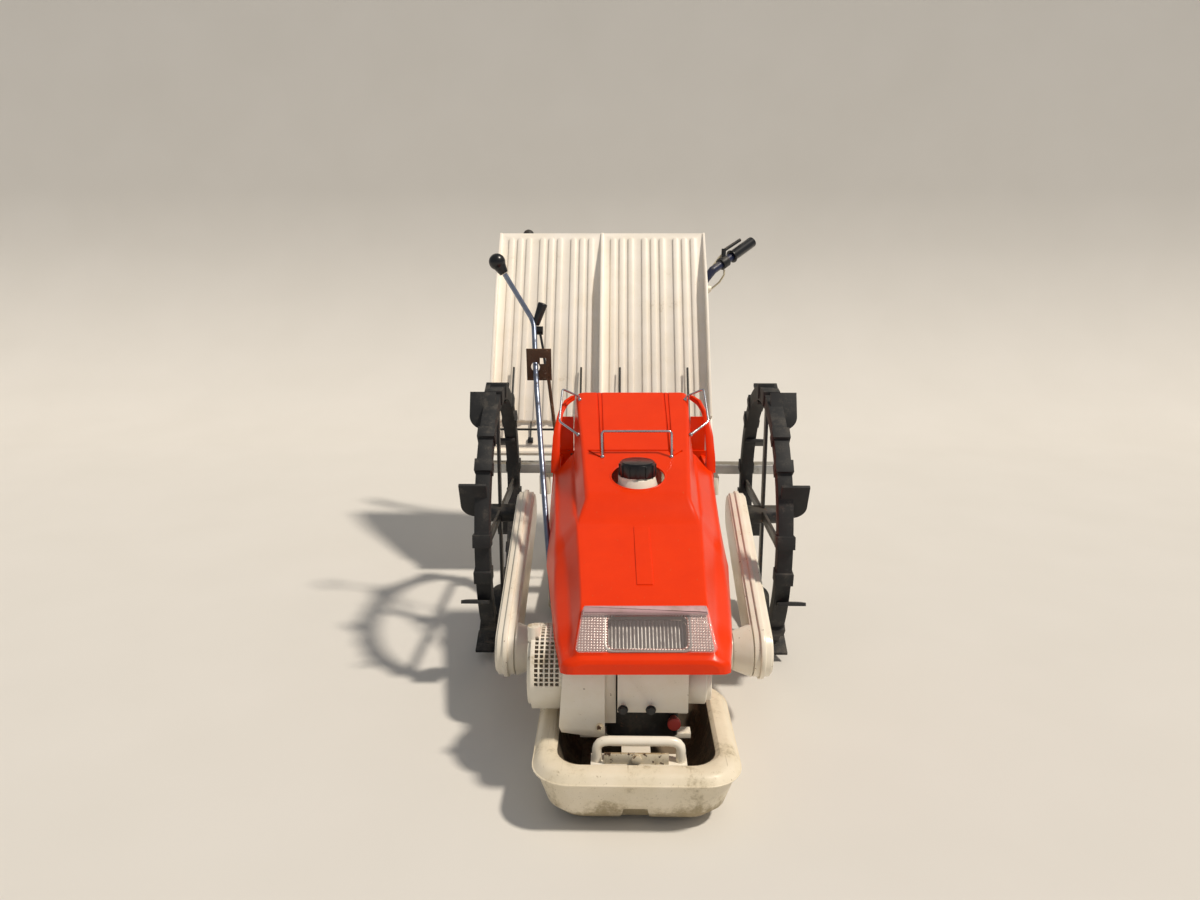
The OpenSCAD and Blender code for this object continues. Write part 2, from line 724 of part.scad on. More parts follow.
// Black hand grips over the tube ends
module grips() {
    color(black) at_axle() both_sides() difference() {
        union() {
            bar(grip_end - 96 * grip_line, grip_end, grip_r);
            bar(grip_end - 100 * grip_line, grip_end - 95 * grip_line, grip_r + 4);
        }
        bar(grip_end - 101 * grip_line, grip_end - 3 * grip_line, handle_d / 2 + seat);
    }
}

collar_at = handle_path[3] + 50 * grip_line;
collar_r = handle_d / 2 + 6;
lever_post_top = collar_at + [0, 0, 42];

// Clutch levers on the handle tubes and the tall lever behind the tray
module clutch_levers() {
    tall_foot = [-110, cross_at[1], cross_at[2]];
    tall_head = [94 - grip_half_w, rear_reach - 89, grip_z + 20];
    color(black) at_axle() difference() {
        union() {
            both_sides() {
                bar(collar_at - 13 * grip_line, collar_at + 13 * grip_line, collar_r);
                bar(collar_at, lever_post_top, 7);
                bar(lever_post_top - [0, 0, 6], lever_post_top + [56, 56, 26], 5);
            }
            cross_bar(tall_foot[0] - 12, tall_foot[0] + 12, tall_foot[1], tall_foot[2], 15);
            bar(tall_foot, tall_head, 6);
            along(tall_head, tall_head - tall_foot) sphere(r = 17);
        }
        both_sides() bar(collar_at - 20 * grip_line, collar_at + 20 * grip_line, handle_d / 2 + seat);
        cross_bar(tall_foot[0] - 24, tall_foot[0] + 13, tall_foot[1], tall_foot[2], 9 + seat);
    }
}

// Point on the handle's path: the whole part of its place picks a stretch, the rest is a share of it
function on_handle(place) = let (i = min(floor(place), 3))
    handle_path[i] + (place - i) * (handle_path[i + 1] - handle_path[i]);

// Upper runs of the cables, from the clutch levers down. Columns: place on the handle's path,
// then how far the cable lies from it to the side, back and up
cable_upper = [
    [[3.39, -11.8, -2.5, 19.5], [3.43, -17.1, 9.2, 16.1], [3.37, -22.2, 23.2, 7.1], [3.18, -19.5, 28.1, -4.9],
        [2.72, -8.6, 37.6, -5.1], [2.06, 1.1, 36.8, -13.6], [1.68, 2.4, 33.6, -12.8], [1.3, 3, 34, -13],
        [1.03, 3.9, 29.6, -11.3]],
    [[3.24, 7.7, 5.2, -19.5], [3.2, 12.9, 10.1, -31.6], [3.12, 10.3, 28.1, -47.9], [2.56, 21.1, 50.8, -33.5],
        [2.05, 19.6, 57, -35], [1.78, 13.4, 63.6, -27.8], [1.5, 9, 56, -25], [1.1, 9, 44, -21]],
];
// Lower runs, down to the yoke. Columns: x, then how far behind and above the yoke's rear top edge
cable_lower = [
    [[116, 236, 230], [70, 142, 130], [30, 72, 40], [18, 32, -10], [18, 0.3, -10]],
    [[112, 236, 210], [56, 132, 100], [18, 68, 35], [8, 32, -10], [8, 0.3, -10]],
];
cable_d = 6;

// Cream-sheathed control cables
module control_cables() {
    color(cream) at_axle() both_sides() for (i = [0 : len(cable_upper) - 1]) swept_tube(concat(
        [for (k = cable_upper[i]) on_handle(k[0]) + [k[1], k[2], k[3]]],
        [for (k = cable_lower[i]) k + [0, yoke_back, yoke_top]]), cable_d / 2);
}

// Chain case that carries a wheel: pivots at the front, holds the axle at the rear
module chain_case(side) {
    color(cream) at_axle() one_side(side) difference() {
        union() {
            case_oval(case_r, case_in + 4, case_out - 4);
            case_oval(case_r - 5, case_in, case_out);
            case_oval(case_r + seam_out, case_x - seam_t / 2, case_x + seam_t / 2);
            cross_bar(dome_in, case_in + 1, pivot_y, pivot_z, dome_r - 6);
            cross_bar(dome_in + 12, case_in + 1, pivot_y, pivot_z, dome_r);
            translate([case_out - 1, 0, hub_z]) rotate([0, 90, 0])
                cylinder(h = hub_in - case_out - 4, r1 = 34, r2 = 22);
        }
        cross_bar(dome_in - 1, case_x + 6.5, pivot_y, pivot_z, pivot_r + run_fit);
        cross_bar(case_x - 4, hub_in, 0, hub_z, axle_r + run_fit);
    }
}

// Wheel centre: hub tube, axle and four flat spokes
module rim(side) {
    color(black) at_axle() one_side(side) {
        cross_bar(hub_in, hub_in + hub_l, 0, hub_z, hub_r);
        cross_bar(case_x - 3, hub_in + 1, 0, hub_z, axle_r);
        for (a = [0 : 90 : 270]) translate([half_track, 0, hub_z]) rotate([a, 0, 0])
            block([-spoke_t / 2, -spoke_w / 2, hub_r - 3], [spoke_t / 2, spoke_w / 2, ring_r - ring_t / 2 + 1]);
    }
}

// One fin plate in its own frame: X across the wheel, Z along the slant
module fin() {
    low = -(fin_l - fin_top);
    round_r = 28;
    rotate([90, 0, 0]) translate([0, 0, -fin_t / 2]) linear_extrude(fin_t) {
        translate([-fin_in, low]) square([fin_in + fin_out - round_r, fin_l]);
        translate([fin_out - round_r - 1, low + round_r]) square([round_r + 1, fin_l - round_r]);
        translate([fin_out - round_r, low + round_r]) circle(round_r);
    }
}

// Rubber ring with its teeth and fins
module tyre(side) {
    inner = ring_r - ring_t / 2;
    color(rubber) at_axle() one_side(side) translate([half_track, 0, hub_z]) {
        difference() {
            rotate([0, 90, 0]) rotate_extrude($fn = 96) translate([inner, -ring_t / 2]) square(ring_t);
            for (a = [0 : 90 : 270]) rotate([a, 0, 0])
                block([-spoke_t / 2 - 0.01, -spoke_w / 2 - 0.01, inner - 2],
                    [spoke_t / 2 + 0.01, spoke_w / 2 + 0.01, inner + 1]);
        }
        for (i = [0 : 3 * fin_count - 1]) if (i % 3 != 0)
            rotate([180 + fin_phase + i * step, 0, 0]) translate([-tooth_w / 2, -tooth_l / 2, inner + 4])
                cube([tooth_w, tooth_l, tooth_r - inner - 4]);
        for (i = [0 : fin_count - 1]) rotate([180 + fin_phase + i * 3 * step, 0, 0])
            translate([0, 0, ring_r]) rotate([-45, 0, 0]) fin();
    }
}

// Cream cap on the outer end of a hub
module hub_cap(side) {
    color(cream) at_axle() one_side(side)
        cross_bar(hub_in + hub_l + seat, hub_in + hub_l + 13, 0, hub_z, 14);
}

// Puts children on the tray: X across, Y up the slope, Z out of its face
module on_tray() {
    at_axle() translate([tray_shift, lip_back, lip_z]) rotate([tray_slope, 0, 0]) children();
}

// Seedling tray: two lanes with ribs, side walls and a middle wall
module tray() {
    lane = (tray_w - 3 * wall_t) / 2;
    low = 96;
    color(cream) on_tray() {
        block([-tray_w / 2, low, 0], [tray_w / 2, tray_l, tray_t]);
        for (x = [-tray_w / 2, -wall_t / 2, tray_w / 2 - wall_t])
            block([x, low, 0], [x + wall_t, tray_l, wall_h]);
        for (s = [-1, 1], g = [-1, 0, 1], k = [-1, 0, 1])
            translate([s * (lane + wall_t) / 2 + g * 92 + k * 26, low, 0]) {
                block([-7, 0, 0], [7, tray_l - low - 24, tray_t + rib_h]);
                translate([0, tray_l - low - 24, 0]) cylinder(h = tray_t + rib_h, r = 7);
            }
    }
}

// Lower plate of the tray, down to the lip that runs on the rail
module tray_lip() {
    color(cream) on_tray() {
        block([-tray_w / 2, 8, -10], [tray_w / 2, 100, -4]);
        block([-tray_w / 2, 0, -10], [tray_w / 2, 8, 8]);
        for (x = [-tray_w / 2, -wall_t / 2, tray_w / 2 - wall_t])
            block([x, 8, -10], [x + wall_t, 95.7, 30]);
        both_sides() block([tray_w / 2 - 40, 90, -5], [tray_w / 2 - 10, 100, -0.3]);
    }
}

// Rods that hold the seedling mats down
module retainer_rods() {
    color(black) on_tray() {
        cross_bar(-tray_w / 2 + 3, tray_w / 2 - 3, 60, 33, 3);
        for (x = [-242, -54, 54, 242]) bar([x, 60, 33], [x, 250, 24], 3, 16);
    }
}

// Hanging adjuster with a square foot on the lower plate
module feed_adjuster() {
    color(black) on_tray() {
        bar([-190, 95, 3.5], [-190, 45, 1], 2, 16);
        block([-197, 34, -3.7], [-183, 48, 4]);
    }
}

planter_x = row_pitch / 2;
web_in = 118.5;
web_out = 130.5;
pin_r = 7;
crank_rest = 60;
pin_y = crank_back + crank_r * cos(crank_rest);
pin_z = crank_z + crank_r * sin(crank_rest);

// Crank with its shaft and pin
module crank(side) {
    color(steel) at_axle() one_side(side) {
        cross_bar(50, web_in + 1, crank_back, crank_z, shaft_r);
        translate([0, crank_back, crank_z]) rotate([crank_rest - 90, 0, 0])
            block([web_in, -14, -18], [web_out, 14, crank_r + 14]);
        cross_bar(web_out - 1, planter_x + 12, pin_y, pin_z, pin_r);
    }
}

// Planting arm with its claw
module planter(side) {
    arm_y = rail_y - 30;
    tip = [planter_x, rail_y - 14, pin_z + 12 - arm_l];
    color(steel) at_axle() one_side(side) difference() {
        union() {
            cross_bar(planter_x - 12, planter_x + 12, pin_y, pin_z, 18);
            block([planter_x - 10, pin_y - 50, pin_z - 12], [planter_x + 10, arm_y, pin_z + 12]);
            block([planter_x - 10, arm_y - 20, pin_z - 70], [planter_x + 10, arm_y, pin_z + 12]);
            for (dx = [-6, 6]) bar([planter_x + dx, arm_y - 10, pin_z - 66], tip + [dx, 0, 0], 2.5, 16);
        }
        cross_bar(planter_x - 13, planter_x + 13, pin_y, pin_z, pin_r + run_fit);
    }
}

float();
main_frame();
float_links();
engine_block();
engine_shroud();
recoil_cover();
front_plate();
muffler();
oil_cap();
bumper_loop();
bumper_plate();
transmission_case();
swing_shaft();
hood();
cowl(-1);  // cowl_left
cowl(1);  // cowl_right
lamp_reflector();
lamp_lens();
fuel_tank();
fuel_cap();
guard_wires();
shift_lever();
shift_knob();
gate_plate();
throttle_lever();
planting_case();
feed_rail();
rail_brackets();
tray_rest();
handle_frame();
grips();
clutch_levers();
control_cables();
chain_case(-1);  // case_left
chain_case(1);  // case_right
rim(-1);  // rim_left
rim(1);  // rim_right
tyre(-1);  // tyre_left
tyre(1);  // tyre_right
hub_cap(-1);  // hub_cap_left
hub_cap(1);  // hub_cap_right
tray();
tray_lip();
retainer_rods();
feed_adjuster();
crank(-1);  // crank_left
crank(1);  // crank_right
planter(-1);  // planter_left
planter(1);  // planter_right
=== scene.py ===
"""Looks of a walk-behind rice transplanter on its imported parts, for Blender 4.5, in metres."""

import logging
import math
from dataclasses import dataclass
from enum import Enum, StrEnum

import bmesh
import bpy
from bmesh.types import BMEdge, BMesh, BMFace, BMVert
from bpy.types import Material, NodeSocket, NodeTree, Object
from mathutils import Matrix, Vector

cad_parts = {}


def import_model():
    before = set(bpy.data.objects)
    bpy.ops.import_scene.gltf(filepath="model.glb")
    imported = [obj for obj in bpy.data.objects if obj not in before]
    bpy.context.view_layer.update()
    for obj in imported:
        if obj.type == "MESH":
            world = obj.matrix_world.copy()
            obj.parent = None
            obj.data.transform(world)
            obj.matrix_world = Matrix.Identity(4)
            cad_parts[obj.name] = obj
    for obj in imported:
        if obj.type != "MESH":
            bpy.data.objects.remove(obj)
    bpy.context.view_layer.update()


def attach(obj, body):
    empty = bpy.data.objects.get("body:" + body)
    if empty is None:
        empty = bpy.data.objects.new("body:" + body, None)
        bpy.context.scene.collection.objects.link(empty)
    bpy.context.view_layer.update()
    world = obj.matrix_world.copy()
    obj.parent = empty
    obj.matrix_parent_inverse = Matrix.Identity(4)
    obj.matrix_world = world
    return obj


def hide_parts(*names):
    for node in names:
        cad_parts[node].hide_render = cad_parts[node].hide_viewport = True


LOG = logging.getLogger("transplanter")
MM = 0.001
AXLE = Vector((0.0, -0.085, 0.0))
HOOD_YAW = math.radians(1.2)
PIVOT_Y = -398.0
PIVOT_Z = 150.0
HUB_Z = 301.728
SHARP_TURN = math.radians(32)
PIN_REACH_MM = 0.4
PIN_CUT_MM = 0.3
Point = tuple[float, float, float]
Outline = tuple[tuple[float, float], ...]


class Side(StrEnum):
    """Sides of the machine as the camera sees them."""

    LEFT = "left"
    RIGHT = "right"

    @property
    def sign(self) -> int:
        """Sign of X on this side."""
        return -1 if self is Side.LEFT else 1


class Slot(Enum):
    """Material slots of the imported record."""

    FLOAT = "float_plastic"
    PAINT = "cream_paint"
    MOULDING = "cream_plastic"
    HOOD = "orange_plastic"
    IRON = "black_iron"
    GRIP = "black_plastic"
    STEEL = "bright_steel"
    RAIL = "aluminium_rail"
    RUBBER = "wheel_rubber"
    SILVER = "lamp_silver"
    LENS = "lens_plastic"
    RUST = "rusty_steel"
    RED = "red_plastic"
    BLUE = "blue_paint"
    SHEATH = "cable_sheath"
    TRAY = "tray_plastic"


def linear(code: str, alpha: float = 1.0) -> tuple[float, float, float, float]:
    """Turns an sRGB hex colour into linear values.

    Args:
        code: Six hex digits.
        alpha: Fourth value of the result.

    Returns:
        Linear red, green, blue and the given alpha.
    """
    shares = [int(code[i : i + 2], 16) / 255 for i in (0, 2, 4)]
    red, green, blue = (s / 12.92 if s <= 0.04045 else ((s + 0.055) / 1.055) ** 2.4 for s in shares)
    return (red, green, blue, alpha)


def add_node(tree: NodeTree, kind: str, fills: dict | None = None, out: str | int = 0,
             **settings: object) -> NodeSocket | None:
    """Adds a shader node, sets its settings and fills its inputs.

    Args:
        tree: Node tree that gets the node.
        kind: Blender's name of the node type after "ShaderNode".
        fills: For each input's name or number, a plain value or another node's socket.
        out: Name or number of the output that is wanted.
        settings: Properties of the node.

    Returns:
        The wanted output, or None for a node without outputs.
    """
    node = tree.nodes.new("ShaderNode" + kind)
    for name, value in settings.items():
        setattr(node, name, value)
    for key, value in (fills or {}).items():
        if isinstance(value, NodeSocket):
            tree.links.new(value, node.inputs[key])
        else:
            node.inputs[key].default_value = value
    return node.outputs[out] if node.outputs else None


def new_surface(name: str) -> tuple[Material, NodeTree, NodeSocket]:
    """Starts a material that is drawn in object coordinates.

    Args:
        name: Name of the material.

    Returns:
        The material, its node tree and the place on the object.
    """
    material = bpy.data.materials.new(name)
    material.use_nodes = True
    tree = material.node_tree
    tree.nodes.clear()
    return material, tree, add_node(tree, "TexCoord", out="Object")


@dataclass(frozen=True)
class Soiled:
    """Surface of one base colour that is mottled, soiled in patches, chipped and scratched.

    All lengths are real millimetres on the machine.
    """

    name: str
    slot: Slot
    base: str
    mottle: str
    dirt: str
    dirt_share: float = 0.2
    dirt_mm: float = 45.0
    mud_top_mm: float = 160.0
    mud: float = 0.0
    dust_up: float = 0.15
    chip: str = "5A4030"
    chip_share: float = 0.0
    chip_mm: float = 9.0
    scratch_share: float = 0.0
    metallic: float = 0.0
    roughness: float = 0.4
    dirt_roughness: float = 0.85
    grain_mm: float = 0.8
    grain_depth_mm: float = 0.02
    coat: float = 0.0
    specular: float = 0.5

    def build(self) -> Material:
        """Makes the material.

        Returns:
            The material, whose colours are mixed from the base up: mottle, dirt, scratches and chips.
        """
        material, tree, place = new_surface(self.name)
        height = add_node(tree, "SeparateXYZ", {0: place}, "Z")
        up = add_node(tree, "SeparateXYZ", {0: add_node(tree, "NewGeometry", out="Normal")}, "Z")
        drawn_out = add_node(tree, "Mapping", {"Vector": place, "Scale": (1.0, 1.0, 0.14)})
        noises = ((place, self.dirt_mm, 5.0, 0.62), (place, self.dirt_mm / 9, 6.0, 0.7),
                  (drawn_out, 14.0, 3.0, 0.5), (place, self.grain_mm, 2.0, 0.5))
        broad, fine, streak, relief = (
            add_node(tree, "TexNoise", {"Vector": spot, "Scale": 1 / (size_mm * MM), "Detail": detail,
                                        "Roughness": roughness}, "Fac")
            for spot, size_mm, detail, roughness in noises)
        low = {0: height, 1: self.mud_top_mm * MM, 2: 0.0, 3: 0.0, 4: self.mud}
        patches = add_node(tree, "MapRange", low, interpolation_type="SMOOTHSTEP")
        for layer, share in ((broad, 0.55), (fine, 0.3), (streak, 0.15)):
            patches = add_node(tree, "Math", {0: layer, 1: share, 2: patches}, operation="MULTIPLY_ADD")
        dust = add_node(tree, "MapRange", {0: up, 1: 0.1, 2: 1.0, 3: 0.0, 4: self.dust_up})
        patches = add_node(tree, "Math", {0: patches, 1: dust}, operation="ADD")
        edge = 0.66 - 0.3 * self.dirt_share
        soil = add_node(tree, "MapRange", {0: patches, 1: edge - 0.05, 2: edge + 0.13, 3: 0.0, 4: 1.0},
                        interpolation_type="SMOOTHSTEP")
        shade = add_node(tree, "MapRange", {0: broad, 1: 0.35, 2: 0.65})
        cover = add_node(tree, "Math", {0: soil, 1: 0.85}, operation="MULTIPLY")
        layers = [(shade, self.mottle), (cover, self.dirt)]
        relief = add_node(tree, "Math", {0: soil, 1: 0.8, 2: relief}, operation="MULTIPLY_ADD")
        if self.scratch_share > 0:
            turned = add_node(tree, "Mapping", {"Vector": place, "Rotation": (0.5, 0.9, 0.35),
                                                "Scale": (1.0, 0.035, 1.0)})
            lines = add_node(tree, "TexNoise", {"Vector": turned, "Scale": 1 / (2.6 * MM), "Detail": 1.0},
                             "Fac")
            start = 0.76 - 0.12 * self.scratch_share
            scratch = add_node(tree, "MapRange", {0: lines, 1: start, 2: 0.80, 3: 0.0, 4: 0.55})
            layers.append((scratch, self.dirt))
        if self.chip_share > 0:
            spots = add_node(tree, "TexNoise", {"Vector": place, "Scale": 1 / (self.chip_mm * MM),
                                                "Detail": 7.0, "Roughness": 0.6}, "Fac")
            spots = add_node(tree, "Math", {0: broad, 1: 0.35, 2: spots}, operation="MULTIPLY_ADD")
            start = 0.87 - 0.2 * self.chip_share
            chipped = add_node(tree, "MapRange", {0: spots, 1: start, 2: start + 0.035})
            layers.append((chipped, self.chip))
            relief = add_node(tree, "Math", {0: relief, 1: chipped}, operation="SUBTRACT")
        colour = linear(self.base)
        for share, code in layers:
            colour = add_node(tree, "Mix", {0: share, 6: colour, 7: linear(code)}, 2, data_type="RGBA")
        rough = add_node(tree, "MapRange", {0: soil, 3: self.roughness, 4: self.dirt_roughness})
        depth = 4 * self.grain_depth_mm * MM
        bump = add_node(tree, "Bump", {"Height": relief, "Strength": 0.5, "Distance": depth})
        shader = add_node(tree, "BsdfPrincipled", {"Base Color": colour, "Metallic": self.metallic,
                          "Roughness": rough, "Normal": bump, "Coat Weight": self.coat, "Coat Roughness": 0.2,
                          "Specular IOR Level": self.specular})
        add_node(tree, "OutputMaterial", {0: shader})
        return material


# Blow-moulded polyethylene: waxy and soft-edged, scuffed grey, darker and browner towards the bottom.
FLOAT_PE = Soiled("blow_moulded_polyethylene", Slot.FLOAT, "EADFC9", "E1D5BB", "9A8B6C", dirt_share=0.24,
                  dirt_mm=60, mud_top_mm=80, mud=0.2, dust_up=0.02, scratch_share=0.8, roughness=0.42,
                  grain_mm=1.6)
# Oily mud and painted shade that line the float's tub under the engine: nearly black, matt, paler where the
# mud has dried.
TUB_MUD_AND_SHADE = Soiled("oily_mud_and_painted_shade", Slot.FLOAT, "54493B", "352E25", "8A7962", dirt_share=0.35, roughness=0.75,
                 grain_mm=2.5, grain_depth_mm=0.2)
# Stove enamel on steel and castings: smooth pale cream with few rust specks.
CREAM_ENAMEL = Soiled("cream_stove_enamel", Slot.PAINT, "F4EDDF", "EFE6D3", "B3A280", dirt_share=0.06,
                      mud=0.05, mud_top_mm=150, dust_up=0.04, chip="6B4A30", chip_share=0.03, chip_mm=9,
                      scratch_share=0.1, roughness=0.34, coat=0.2)
# The same enamel low on the engine: rust creeps out from under the chips.
WORN_ENAMEL = Soiled("worn_cream_enamel", Slot.PAINT, "EADFC8", "DDCFB0", "8A7048", dirt_share=0.36,
                     mud=0.1, mud_top_mm=200, chip="4A3220", chip_share=0.62, chip_mm=12, scratch_share=0.4)
# Injection-moulded polypropylene of the fan cover and the tank: even satin.
CREAM_PP = Soiled("cream_polypropylene", Slot.MOULDING, "F1EBDD", "EAE2D0", "A89878", dirt_share=0.08,
                  mud=0.04, scratch_share=0.15, grain_mm=1.2)
# Moulded ABS of the hood: strong orange gloss that is dulled by fine scratches.
ORANGE_ABS = Soiled("orange_abs", Slot.HOOD, "F03A02", "EA3602", "D8683A", dirt_share=0.02, dirt_mm=70,
                    dust_up=0.0, scratch_share=0.2, roughness=0.32, dirt_roughness=0.5, coat=0.08,
                    specular=0.2)
# Black enamel on iron: thin grey dust, a little rust in the chips.
BLACK_ENAMEL = Soiled("black_enamel_on_iron", Slot.IRON, "151618", "1E1F21", "4F4A42", dirt_share=0.22,
                      mud=0.08, mud_top_mm=500, chip="5A402E", chip_share=0.2, roughness=0.42)
# Moulded PVC of grips, caps and knobs: deep black, slightly glossy.
BLACK_PVC = Soiled("black_pvc", Slot.GRIP, "0F1013", "16171B", "5E574C", dirt_share=0.04, dust_up=0.04,
                   roughness=0.3, grain_mm=0.9)
# Zinc plating on steel rods: bright and a little bluish with dull spots.
ZINC_STEEL = Soiled("zinc_plated_steel", Slot.STEEL, "C3C7CE", "AEB3BB", "77706A", mud=0.03, metallic=0.9,
                    roughness=0.25, dirt_roughness=0.55, chip="6B4A33", chip_share=0.1)
# Blued steel of the shift lever: dark with a cold sheen.
BLUED_STEEL = Soiled("blued_steel_rod", Slot.STEEL, "8A93A6", "6E788E", "5B5852", dirt_share=0.1,
                     metallic=0.75, roughness=0.3, chip="5A402E", chip_share=0.12)
# Mill-finished extruded aluminium: pale grey with a dull oxide.
MILL_ALUMINIUM = Soiled("extruded_aluminium", Slot.RAIL, "C4C4C2", "B4B3AF", "8C8474", dirt_share=0.25,
                        metallic=0.7)
# Vulcanised rubber of the ring: nearly black with grey dried mud in its hollows.
RUBBER = Soiled("vulcanised_rubber", Slot.RUBBER, "1B1C1E", "242526", "55504A", dirt_share=0.26, dirt_mm=28,
                mud=0.08, mud_top_mm=300, dust_up=0.06, roughness=0.7, grain_mm=1.5, grain_depth_mm=0.05)
# Silvered plastic behind the lens: grey and a little blind.
SILVERED = Soiled("silvered_reflector", Slot.SILVER, "9C9894", "8E8A87", "8E8480", dirt_share=0.02,
                  metallic=0.6)
# Frosted band moulded along the lamp's upper edge: dull rose.
FROSTED = Soiled("frosted_polycarbonate", Slot.LENS, "C9A3A6", "BF989C", "A88E84", dirt_share=0.1,
                 roughness=0.5)
# Unpainted sheet steel with an even brown rust.
RUSTY_SHEET = Soiled("rusty_sheet_steel", Slot.RUST, "5C4433", "4B3527", "7A5B42", dirt_share=0.5,
                     metallic=0.3, roughness=0.65, chip="8A7A6A", chip_share=0.4)
# Moulded nylon of the oil cap: dark red.
RED_NYLON = Soiled("red_nylon", Slot.RED, "B43530", "A42E2A", "5E4A3C", dirt_share=0.12)
# Blue-black enamel on the handle tubes: thin, worn bright in places.
BLUE_ENAMEL = Soiled("dark_blue_enamel", Slot.BLUE, "232A49", "1C2340", "6D675F", chip="7A7670",
                     chip_share=0.25, roughness=0.35)
# PVC sheath of the control cables: cream, slightly yellowed.
SHEATH_PVC = Soiled("cream_pvc_sheath", Slot.SHEATH, "E4DAC0", "D6C9A8", "8F7E60")
# Vacuum-formed ABS of the tray: pale and glossy with dust in its corners.
TRAY_ABS = Soiled("cream_vacuum_formed_abs", Slot.TRAY, "FFF7EC", "FAF1E2", "C4B292", dirt_share=0.08,
                  dirt_mm=70, dust_up=0.0, scratch_share=0.2, roughness=0.34)


def prism_cells(tree: NodeTree, place: NodeSocket, cell_mm: float) -> NodeSocket:
    """Draws rows of small prisms, which stand closer along Y than along X.

    Args:
        tree: Node tree that gets the rows.
        place: Place on the object.
        cell_mm: Width of a prism.

    Returns:
        Height of the prisms from 0 to 1.
    """
    scale = 2 * math.pi / (20 * cell_mm * MM)
    across, along = (
        add_node(tree, "TexWave", {"Vector": place, "Scale": scale * closer}, "Fac", wave_type="BANDS",
                 bands_direction=way)
        for way, closer in (("X", 1.0), ("Y", 1.4)))
    return add_node(tree, "Math", {0: across, 1: along}, operation="MULTIPLY")


@dataclass(frozen=True)
class ClearLens:
    """Clear moulded polycarbonate: glossy, faintly pink, with small prisms that veil it towards its ends."""

    name: str = "clear_polycarbonate"
    slot: Slot = Slot.LENS
    tint: str = "EFE0DD"
    prism_mm: float = 4.8
    veil: float = 0.22
    clear_veil: float = 0.07
    middle_mm: float = 17.6
    clear_mm: float = 66.0
    blend_mm: float = 5.0

    def build(self) -> Material:
        """Makes the material.

        Returns:
            A material that is clear round its middle and ribbed beyond.
        """
        material, tree, place = new_surface(self.name)
        side = add_node(tree, "SeparateXYZ", {0: place}, "X")
        side = add_node(tree, "Math", {0: side, 1: self.middle_mm * MM}, operation="SUBTRACT")
        side = add_node(tree, "Math", {0: side}, operation="ABSOLUTE")
        side = add_node(tree, "MapRange", {0: side, 1: self.clear_mm * MM,
                                           2: (self.clear_mm + self.blend_mm) * MM})
        cells = prism_cells(tree, place, self.prism_mm)
        prisms = add_node(tree, "Math", {0: cells, 1: side}, operation="MULTIPLY")
        bump = add_node(tree, "Bump", {"Height": prisms, "Strength": 0.5, "Distance": 1.2 * MM})
        ribbed = add_node(tree, "MapRange", {0: prisms, 1: 0.2, 2: 0.8, 3: self.veil, 4: 0.12})
        veil = add_node(tree, "Mix", {0: side, 2: self.clear_veil, 3: ribbed}, data_type="FLOAT")
        shader = add_node(tree, "BsdfPrincipled", {"Base Color": linear(self.tint), "Roughness": 0.08,
                          "Alpha": veil, "Normal": bump, "Coat Weight": 0.4, "Coat Roughness": 0.05})
        add_node(tree, "OutputMaterial", {0: shader})
        return material


@dataclass(frozen=True)
class PrismPlate:
    """Back of the lamp's sides: rows of small prisms, orange between painted white highlights."""

    name: str = "prism_plastic_with_painted_glints"
    slot: Slot = Slot.SILVER
    # Colour of the painted white highlights that sit on the prisms.
    light: str = "E0CFC8"
    middle: str = "AE7260"
    dark: str = "7C301C"
    cell_mm: float = 4.8
    painted_glint_mm: float = 18.0

    def build(self) -> Material:
        """Makes the material.

        Returns:
            A glossy material with a grid of light cells.
        """
        material, tree, place = new_surface(self.name)
        cells = prism_cells(tree, place, self.cell_mm)
        broad = add_node(tree, "TexNoise", {"Vector": place, "Scale": 1 / (self.painted_glint_mm * MM)}, "Fac")
        # Painted highlights: the light colour where the prism cells meet broad noise.
        painted_glints = add_node(tree, "Math", {0: cells, 1: broad}, operation="MULTIPLY")
        painted_glints = add_node(tree, "MapRange", {0: painted_glints, 1: 0.0, 2: 0.3})
        colour = linear(self.dark)
        for share, code in ((cells, self.middle), (painted_glints, self.light)):
            colour = add_node(tree, "Mix", {0: share, 6: colour, 7: linear(code)}, 2, data_type="RGBA")
        bump = add_node(tree, "Bump", {"Height": cells, "Strength": 0.6, "Distance": 1.0 * MM})
        shader = add_node(tree, "BsdfPrincipled", {"Base Color": colour, "Roughness": 0.2, "Metallic": 0.2,
                          "Normal": bump})
        add_node(tree, "OutputMaterial", {0: shader})
        return material


Finish = Soiled | ClearLens | PrismPlate


class Paintbox:
    """Makes each finish once."""

    def __init__(self) -> None:
        """Starts with nothing made."""
        self.made: dict[str, Material] = {}

    def get(self, finish: Finish) -> Material:
        """Gives the material of a finish, made at its first use.

        Args:
            finish: The finish.

        Returns:
            Its material.
        """
        if finish.name not in self.made:
            self.made[finish.name] = finish.build()
        return self.made[finish.name]


PAINTS = Paintbox()


def new_object(name: str, data: bpy.types.ID) -> Object:
    """Makes an object at the origin of the scene.

    Args:
        name: Name of the object.
        data: Its mesh, light or lens.

    Returns:
        The object.
    """
    made = bpy.data.objects.new(name, data)
    bpy.context.scene.collection.objects.link(made)
    return made


def face_outward(bm: BMesh) -> None:
    """Turns all faces of a mesh to its outer side."""
    bmesh.ops.recalc_face_normals(bm, faces=bm.faces)


def merged(node: str) -> BMesh:
    """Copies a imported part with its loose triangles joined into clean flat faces.

    Args:
        node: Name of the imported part.

    Returns:
        A bmesh in the frame's own place.
    """
    bm = bmesh.new()
    bm.from_mesh(bpy.data.objects[node].data)
    bmesh.ops.remove_doubles(bm, verts=bm.verts, dist=0.02 * MM)
    bmesh.ops.dissolve_limit(bm, angle_limit=math.radians(0.6), verts=bm.verts, edges=bm.edges,
                             use_dissolve_boundaries=False)
    return bm


